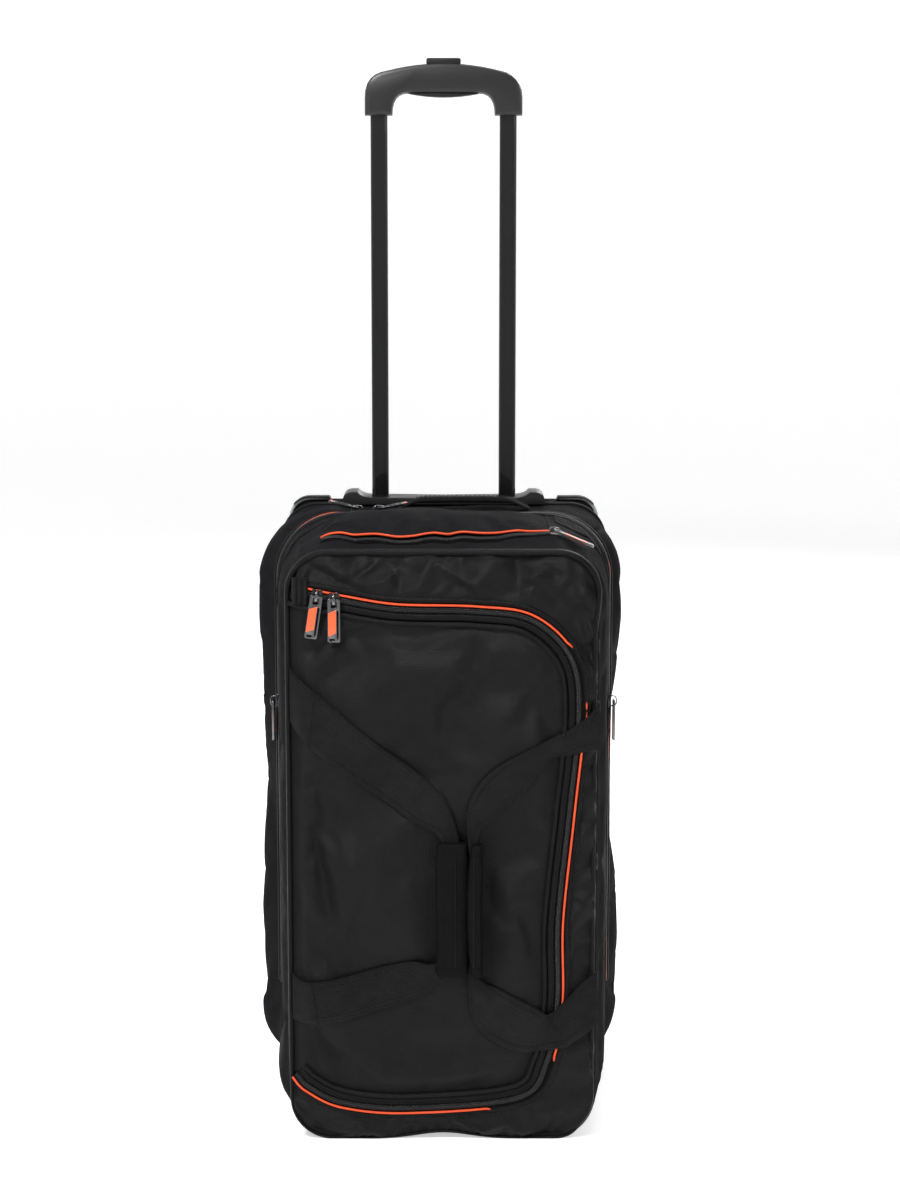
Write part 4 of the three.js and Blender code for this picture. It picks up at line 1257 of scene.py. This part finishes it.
# ------------------------------------------------------------------ carry straps and grip sleeves
STRAPS = {
    # both edges of each webbing in the front plane (x, z), from its upper seam to its lower one
    "left": {
        "outer": [(-0.1345, 0.434), (-0.124, 0.423), (-0.099, 0.402), (-0.059, 0.368), (-0.016, 0.335),
                  (0.001, 0.318), (0.009, 0.300), (0.014, 0.280), (0.016, 0.255), (0.016, 0.180),
                  (0.010, 0.158), (-0.004, 0.146), (-0.020, 0.135), (-0.051, 0.125), (-0.099, 0.113),
                  (-0.124, 0.112), (-0.1345, 0.115)],
        "inner": [(-0.1345, 0.386), (-0.124, 0.371), (-0.112, 0.359), (-0.085, 0.338), (-0.050, 0.313),
                  (-0.025, 0.296), (-0.008, 0.287), (-0.001, 0.276), (0.000, 0.255), (0.000, 0.180),
                  (-0.005, 0.169), (-0.014, 0.167), (-0.025, 0.169), (-0.051, 0.164), (-0.086, 0.154),
                  (-0.122, 0.150), (-0.1345, 0.157)],
    },
    "right": {
        "outer": [(0.1375, 0.404), (0.128, 0.392), (0.113, 0.381), (0.081, 0.365), (0.046, 0.346),
                  (0.029, 0.327), (0.021, 0.307), (0.0215, 0.285), (0.024, 0.255), (0.024, 0.180),
                  (0.022, 0.150), (0.024, 0.122), (0.030, 0.107), (0.044, 0.095), (0.066, 0.086),
                  (0.092, 0.086), (0.108, 0.089), (0.124, 0.098), (0.1375, 0.109)],
        "inner": [(0.1375, 0.362), (0.124, 0.359), (0.106, 0.355), (0.092, 0.352), (0.071, 0.324),
                  (0.050, 0.299), (0.036, 0.291), (0.031, 0.280), (0.031, 0.255), (0.031, 0.180),
                  (0.029, 0.160), (0.036, 0.150), (0.048, 0.144), (0.065, 0.135), (0.084, 0.125),
                  (0.094, 0.120), (0.108, 0.132), (0.122, 0.146), (0.1375, 0.160)],
    },
}
SLEEVE_Y = {"left": -0.1290, "right": -0.1320}


def make_strap(side, front):
    """A webbing loop: it lies on the front, and rises into its grip sleeve at half height."""
    rows, columns = 190, 9
    outer, inner = (catmull(STRAPS[side][edge], rows) for edge in ("outer", "inner"))
    share = np.linspace(0, 1, columns)[None, :, None]
    flat = (1 - share) * outer[:, None, :] + share * inner[:, None, :]
    depth = np.array([[front_depth(x, z, front) for x, z in row] for row in flat])
    reach = 2
    lowest = np.stack([np.roll(depth, k, axis=0) for k in range(-reach, reach + 1)]).min(axis=0)
    depth = smoothed(np.minimum(lowest, depth), 14) - 0.0022
    height = flat[:, :, 1]
    rising = smoothstep(height, 0.140, 0.168) * (1 - smoothstep(height, 0.272, 0.300))
    inside = np.abs(flat[:, :, 0] - 0.014) < 0.040
    lift = np.where(inside, rising, 0.0)
    depth = (1 - lift) * depth + lift * SLEEVE_Y[side]
    cup = 0.0010 * (1 - (2 * share[0, :, 0] - 1) ** 2)
    grid = np.stack([flat[:, :, 0], depth - cup, flat[:, :, 1]], axis=2)
    if side == "right":
        grid[:, :, 1] -= twist_fold(flat)
    grid = facing(grid, rows // 8, columns // 2, TO_FRONT)
    if side == "left":
        grid = sew_roots(grid)
    strap = slab(side + "_strap_webbing", grid, WEBBING_THICKNESS, WEB)
    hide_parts(side + "_carry_strap")
    handle_fold(strap)
    return grid


def sew_roots(grid):
    """The left webbing crosses the lid's fold: its sewn ends stay on the bag. Returns the rest."""
    on_lid = np.where(grid[:, :, 0].min(axis=1) > LID_LEFT + 0.0020)[0]
    first, last = on_lid[0], on_lid[-1]
    for name, part in (("upper", grid[:first + 2]), ("lower", grid[last - 1:])):
        root = slab(f"left_strap_root_{name}", part + np.array([0, -0.0003, 0]), 0.0018, WEB)
        piece(root, "bag", "webbing")
    return grid[first:last + 1]


def handle_fold(made):
    """Bakes a piece on a carry handle into its place in the world."""
    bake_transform(made)


def twist_fold(flat):
    """The right webbing is creased near its lower end, where it turns upwards."""
    x, z = flat[:, :, 0], flat[:, :, 1]
    top, foot = np.array([0.094, 0.120]), np.array([0.109, 0.089])
    run = foot - top
    across = ((x - top[0]) * run[1] - (z - top[1]) * run[0]) / np.hypot(*run)
    along = ((x - top[0]) * run[0] + (z - top[1]) * run[1]) / (run @ run)
    near = smoothstep(along, -0.6, -0.1) * (1 - smoothstep(along, 1.1, 1.6))
    return 0.0042 * near * np.exp(-np.abs(across) / 0.0035) + 0.0016 * near * (across < 0)


def make_sleeve(side):
    """A padded grip wrapped round the webbing, with a hem at both ends and a seam down it."""
    low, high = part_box(side + "_grip_sleeve")
    z = np.linspace(low.z + 0.001, high.z - 0.001, 64)
    t = (z - z[0]) / (z[-1] - z[0])
    hem = np.maximum(smoothstep(t, 0.09, 0.07), 1 - smoothstep(t, 0.91, 0.93))
    groove = np.exp(-((t - 0.085) / 0.008) ** 2) + np.exp(-((t - 0.915) / 0.008) ** 2)
    middle = Vector((low + high) / 2)
    bow = 0.0 if side == "left" else -0.0018
    path = np.stack([middle.x + bow * np.sin(math.pi * t), np.full(64, middle.y), z], 1)
    ends = 1 - smoothstep(t, 0, 0.02) + smoothstep(t, 0.98, 1)
    flare = 1 + 0.08 * hem - 0.10 * groove - 0.10 * ends
    if side == "right":
        flare = flare - 0.30 * np.abs(2 * t - 1) ** 2.5
    wide = (high.x - low.x) / 2 * 0.97 * flare
    deep = (high.y - low.y) / 2 * 0.90 * (flare + 0.05 * np.sin(math.pi * t))
    roll = loft(side + "_sleeve_pad", path, (1, 0, 0), (0, 1, 0), wide, deep, SLEEVE, power=3.2, sides=40)
    for vertex in roll.data.vertices:
        vertex.co += 0.0004 * ripple(vertex.co, 0.012, 2.0) * Vector((0, 1, 0))
    piece(roll, side + "_handle", "fabric", side + "_grip_sleeve")
    seam_x = middle.x + (0.10 if side == "left" else -0.2) * (high.x - low.x)
    line = np.stack([np.full(40, seam_x), np.full(40, low.y - 0.0001), np.linspace(z[5], z[-6], 40)], 1)
    tree = BVHTree.FromObject(roll, bpy.context.evaluated_depsgraph_get())
    seam = tube(side + "_sleeve_seam", laid(line, tree, 0.0001), 0.0007, BINDING)
    piece(seam, side + "_handle", "fabric")


def strap_seams(side, grid):
    """Sewn edges along the webbing."""
    out = np.broadcast_to(TO_FRONT, grid[:, 0].shape)
    rows = []
    for column in (1, -2):
        rows.append(stitches("seam", grid[:, column] + np.array([0, -0.0002, 0]), out))
    handle_fold(merge(side + "_strap_stitches", rows))


# ------------------------------------------------------------------ top end
POCKET_FRONT = [(-0.108, -0.078), (-0.088, -0.090), (-0.050, -0.094), (0.000, -0.093),
                (0.050, -0.088), (0.080, -0.083), (0.094, -0.080)]


def make_top_pocket(skin):
    """A flat pocket on the top end, slack at its front edge, where its zip runs."""
    rows, columns = 34, 64
    front = catmull(POCKET_FRONT, columns)
    grid = np.empty((rows, columns, 3))
    for i, t in enumerate(np.linspace(0, 1, rows)):
        for j, (x, y) in enumerate(front):
            back = 0.020 - 0.006 * (2 * j / (columns - 1) - 1) ** 4
            grid[i, j] = (x, (1 - t) * y + t * back, 0.6)
    across = np.linspace(0, 1, columns)[None, :]
    back = np.linspace(0, 1, rows)[:, None]
    hump = np.sin(math.pi * across ** 0.8) ** 0.8
    crown = hump * np.sin(math.pi * np.clip(0.06 + 0.94 * back, 0, 1)) ** 0.5
    slack = 0.0013 * np.sin(7 * across + 2.0) * (1 - back)
    for i in range(rows):
        for j in range(columns):
            x, y, _ = grid[i, j]
            place, _, _, _ = skin.ray_cast(Vector((x, y, 0.7)), Vector((0, 0, -1)), 0.4)
            grid[i, j, 2] = place.z + 0.0012 + (0.0085 * crown + slack * crown)[i, j]
    grid = roughen(grid, 0.0012, 0.03, 9.1)
    grid = crumpled_grid(grid, grow=0.02, pressure=0.3, cap=0.003, bending=0.4)
    pouch = slab("top_pocket_cover", grid, POCKET_THICKNESS, [SIDE_FABRIC_PAINTED_SHEEN, LINING])
    piece(pouch, "bag", "fabric", "top_pocket")

    edge = grid[0]
    count = 200
    path = resample(edge, count)
    out = np.broadcast_to(np.array([0.0, -0.45, 0.9]), path.shape)
    piece(tube("top_pocket_piping", path + 0.0008 * out, PIPING, ORANGE, sides=10), "bag", "fabric")
    chain = laid(path + np.array([0, -0.0042, 0]), skin, 0.0009)
    over = along_normals(chain, out)
    piece(strip("top_pocket_tape", chain, out, over, -0.0050, 0.0050, 0.0, 0.0006, TAPE), "bag", "fabric")
    for side in (-1, 1):
        teeth = coil("top_pocket_teeth_" + ("front" if side < 0 else "back"), chain, out, over, side)
        piece(teeth, "bag", "zip_metal")
    rim = [grid[:, 0], grid[-1], grid[::-1, -1]]
    seam = resample(np.vstack([rim[0], rim[1][1:], rim[2][1:]]), 220)
    piece(tube("top_pocket_seam", seam, 0.0011, SIDE_FABRIC_PAINTED_SHEEN), "bag", "fabric")


def make_grab_handle():
    """The soft handle on the top end: a padded strip with two sewn feet and a finger gap."""
    low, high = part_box("top_grab_handle")
    y = (low.y + high.y) / 2
    rise = high.z - low.z
    side = [(0.004, 0.0016), (0.010, 0.0045), (0.022, rise - 0.0030), (0.040, rise - 0.0023)]
    middle = [(x, z) for x, z in side] + [((high.x - low.x) / 2, rise - 0.0021)]
    middle += [(high.x - low.x - x, z) for x, z in side[::-1]]
    line = catmull([(low.x + x, low.z + z) for x, z in middle], 70)
    path = np.stack([line[:, 0], np.full(70, y), line[:, 1]], 1)
    tangent = unit(np.gradient(path, axis=0))
    up = np.cross(tangent, (0, 1, 0))
    up *= np.sign(up[:, 2])[:, None]
    t = np.linspace(0, 1, 70)
    thick = 0.0013 + 0.0014 * smoothstep(t, 0.08, 0.22) * (1 - smoothstep(t, 0.78, 0.92))
    wide = (high.y - low.y) / 2 * (1 - 0.12 * smoothstep(t, 0.1, 0.25) * (1 - smoothstep(t, 0.75, 0.9)))
    handle = loft("grab_handle_pad", path, (0, 1, 0), up, wide, thick, SIDE_FABRIC_PAINTED_SHEEN, power=2.8, sides=32)
    piece(handle, "bag", "fabric", "top_grab_handle")
    rows = []
    for edge in (-1, 1):
        seam = path + np.stack([np.zeros(70), edge * (wide - 0.0022), np.zeros(70)], 1)
        rows.append(stitches("seam", seam + (thick[:, None] + 0.0001) * up * 0.96, up))
    piece(merge("grab_handle_stitches", rows), "bag", "fabric")


# ------------------------------------------------------------------ hard parts
def rounded_copy(node_name, width, material, slot, body="bag", segments=3):
    """A copy of a CAD node with its edges rounded, shown in its place."""
    source = frame["nodes"][node_name]
    made = bpy.data.objects.new(node_name + "_finish", source.data.copy())
    SCENE.collection.objects.link(made)
    made.data.materials.clear()
    made.data.materials.append(material)
    with mesh_work(made.data) as work:
        bmesh.ops.remove_doubles(work, verts=work.verts, dist=MERGE_DISTANCE)
        bmesh.ops.dissolve_limit(work, angle_limit=math.radians(1), verts=work.verts, edges=work.edges)
    if width:
        bevel = made.modifiers.new("round", "BEVEL")
        bevel.width = width
        bevel.segments = segments
        bevel.limit_method = "ANGLE"
        bevel.angle_limit = math.radians(30)
        bevel.harden_normals = False
        apply_modifiers(made)
    smooth_by_angle(made, 35)
    piece(made, body, slot, node_name)


def screw(name, place, out, radius=0.0028):
    """A domed screw head with a crossed recess."""
    steps = [(0.0, 0.0011), (0.55, 0.0010), (0.85, 0.0007), (1.0, 0.0002), (1.0, -0.0010)]
    points, faces, sides = [(0, 0, steps[0][1])], [], 24
    for share, height in steps[1:]:
        for a in np.linspace(0, 2 * math.pi, sides, endpoint=False):
            points.append((share * radius * math.cos(a), share * radius * math.sin(a), height))
    faces += [[0, 1 + j, 1 + (j + 1) % sides] for j in range(sides)]
    faces += grid_faces(len(steps) - 1, sides, start=1, closed=True, flip=True)
    faces.append([1 + (len(steps) - 2) * sides + j for j in range(sides)][::-1])
    head = mesh_object(name, points, faces, STEEL)
    bars = []
    for turn in (0, 90):
        bar = plate("bar", [(-0.0015, -0.0003), (0.0015, -0.0003), (0.0015, 0.0003), (-0.0015, 0.0003)],
                    -0.00118, -0.0009, PLASTIC)
        upright = Matrix.Rotation(math.radians(-90), 4, "X")
        bar.data.transform(Matrix.Rotation(math.radians(turn), 4, "Z") @ upright)
        bars.append(bar)
    made = merge(name, [head, *bars])
    made.data.transform(Matrix.Translation(place) @ Vector(out).to_track_quat("Z", "Y").to_matrix().to_4x4())
    return made


def make_hard_parts():
    """The moulded, rubber and metal parts, and the screws that hold the rails and the bezel."""
    rounded_copy("trolley_bezel", 0.0011, BEZEL, "plastic")
    for side in ("left", "right"):
        # The corner guards' light grey colour is a painted highlight.
        rounded_copy(side + "_corner_guard", 0.0012, GUARD_PAINTED_HIGHLIGHT, "trim")
        rounded_copy(side + "_skid_rail", 0.0018, PLASTIC, "plastic")
        rounded_copy(side + "_wheel_housing", 0.0012, PLASTIC, "plastic")
        rounded_copy(side + "_wheel_tyre", 0.0, RUBBER, "rubber", side + "_wheel")
        rounded_copy(side + "_wheel_hub", 0.0, PLASTIC, "plastic", side + "_wheel")
        rounded_copy(side + "_wheel_axle", 0.0, STEEL, "steel")
        rounded_copy(side + "_inner_tube", 0.0, TUBE, "tube", "telescopic_handle")
        rounded_copy(side + "_outer_tube", 0.0, TUBE, "tube")
        rail_low, rail_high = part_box(side + "_skid_rail")
        for k, z in enumerate((rail_low.z + 0.012, (rail_low.z + rail_high.z) / 2, rail_high.z - 0.012)):
            place = ((rail_low.x + rail_high.x) / 2, rail_high.y - 0.0002, z)
            piece(screw(f"{side}_rail_screw_{k}", place, (0, 1, 0)), "bag", "steel")
        bezel_low, bezel_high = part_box("trolley_bezel")
        x = bezel_high.x - 0.012
        place = (x if side == "right" else -x, bezel_high.y - 0.0002, bezel_low.z + 0.0042)
        piece(screw(side + "_bezel_screw", place, (0, 1, 0), 0.0022), "bag", "steel")
    rounded_copy("stand_foot_bar", 0.0012, RUBBER, "rubber")
    rounded_copy("tube_foot_bracket", 0.0015, PLASTIC, "plastic")
    rounded_copy("grip_body", 0.0042, GRIP, "plastic", "telescopic_handle", segments=5)
    rounded_copy("grip_pad", 0.0008, SOFT_GRIP, "rubber", "telescopic_handle")
    rounded_copy("release_button", 0.0018, SOFT_GRIP, "rubber", "button")
    rounded_copy("tube_cover", 0.0025, LINING, "lining")


def make_board():
    """The stiff back: a cloth-covered board with a bound edge."""
    rounded_copy("back_board", 0.0010, BOARD, "board")
    path, _ = girth(BOARD_Y - 0.0046, 2.05, 6.95, 320)
    path[:, 1] = BOARD_Y - 0.0016
    piece(tube("board_binding", path, 0.0024, BINDING, sides=10), "bag", "fabric")
    for name, start, end in (("right", 3.45, 4.115), ("left", 4.885, 5.55)):
        path, out = girth(BOARD_Y - 0.0046, start, end, 60)
        path += (0.0006 + 0.0046 * smoothstep(np.abs(path[:, 0]), 0.1075, 0.1095))[:, None] * out
        path[:, 1] = BOARD_Y
        across = np.broadcast_to(TO_BACK, path.shape)
        flap = strip(name + "_guard_cover", path, out, across, -0.0095, 0.0038, 0.0, 0.0008, BINDING)
        piece(flap, "bag", "fabric")


# ------------------------------------------------------------------ the whole bag
def make_bag():
    dress_cad_nodes()
    skin_grids = make_skin()
    lid = make_lid()
    rim = make_rim()
    skin = surface_tree(skin_grids)
    front = surface_tree([lid, rim])
    make_wheel_pockets()
    make_seams(skin)
    make_ring_zip(skin)
    make_gusset(skin)
    make_main_zip(front)
    make_zip_tab()
    make_zippers()
    for side in ("left", "right"):
        strap_seams(side, make_strap(side, front))
        make_sleeve(side)
    make_top_pocket(skin)
    make_grab_handle()
    make_hard_parts()
    make_board()


make_bag()


# ------------------------------------------------------------------ camera, floor and light
CAMERA_Y = -2.32
CAMERA_Z = 0.860
CAMERA_X = 0.006
CAMERA_TILT = 9.45  # degrees below the horizon
LENS = 76.8  # mm, on a sensor 27 mm wide and 36 mm high
BOWL_GLOW = 0.50


def make_camera():
    data = bpy.data.cameras.new("camera")
    data.sensor_fit = "VERTICAL"
    data.sensor_height = 36
    data.sensor_width = 27
    data.lens = LENS
    camera = bpy.data.objects.new("camera", data)
    camera.location = (CAMERA_X, CAMERA_Y, CAMERA_Z)
    camera.rotation_euler = (math.radians(90 - CAMERA_TILT), 0, 0)
    SCENE.collection.objects.link(camera)
    SCENE.camera = camera


def area_light(name, place, target, size, power):
    data = bpy.data.lights.new(name, "AREA")
    data.shape = "RECTANGLE"
    data.size, data.size_y = size
    data.energy = power
    lamp = bpy.data.objects.new(name, data)
    lamp.location = place
    lamp.rotation_euler = (Vector(target) - Vector(place)).to_track_quat("-Z", "Y").to_euler()
    SCENE.collection.objects.link(lamp)


def make_studio():
    """A wide white bowl, a pale surround and four soft lamps."""
    paper = new_material("white_paper", (0.88, 0.88, 0.88), 0.95, Emission_Strength=BOWL_GLOW)
    shader = shader_of(paper)
    shader.inputs["Emission Color"].default_value = (1, 1, 1, 1)
    shader.inputs["Specular IOR Level"].default_value = 0.0
    place = node(paper, "ShaderNodeSeparateXYZ")
    link(paper, coordinates(paper), place.inputs["Vector"])
    glow = node(paper, "ShaderNodeMapRange")
    for socket, value in (("From Min", -2.6), ("From Max", -0.9), ("To Min", 0.10), ("To Max", BOWL_GLOW)):
        glow.inputs[socket].default_value = value
    link(paper, place.outputs["Y"], glow.inputs["Value"])
    link(paper, glow.outputs["Result"], shader.inputs["Emission Strength"])
    bend = [(4.4 + 1.2 * math.sin(a), 1.2 - 1.2 * math.cos(a)) for a in np.linspace(0, math.pi / 2, 10)]
    profile = [(0.05, 0.0), (1.5, 0.0), *bend, (5.6, 2.4)]
    sides = 72
    points = [(r * math.cos(a), r * math.sin(a), z) for r, z in profile
              for a in np.linspace(0, 2 * math.pi, sides, endpoint=False)]
    faces = grid_faces(len(profile), sides, closed=True)
    faces.append(list(range(sides))[::-1])
    mesh_object("paper_bowl", points, faces, paper)
    world = bpy.data.worlds.new("studio")
    world.use_nodes = True
    world.node_tree.nodes["Background"].inputs["Color"].default_value = (1, 1, 1, 1)
    world.node_tree.nodes["Background"].inputs["Strength"].default_value = 0.12
    SCENE.world = world
    SCENE.view_settings.view_transform = "Standard"
    area_light("key", (-0.8, -1.15, 2.0), (0, 0, 0.45), (0.6, 0.6), 50)
    area_light("fill", (1.9, -1.7, 1.5), (0, 0, 0.4), (0.7, 1.2), 10)
    area_light("top", (0.0, 0.4, 2.6), (0, 0, 0.4), (1.6, 1.6), 30)
    area_light("back", (1.1, 2.3, 1.9), (0, 0, 0.35), (1.0, 1.0), 40)


make_camera()
make_studio()
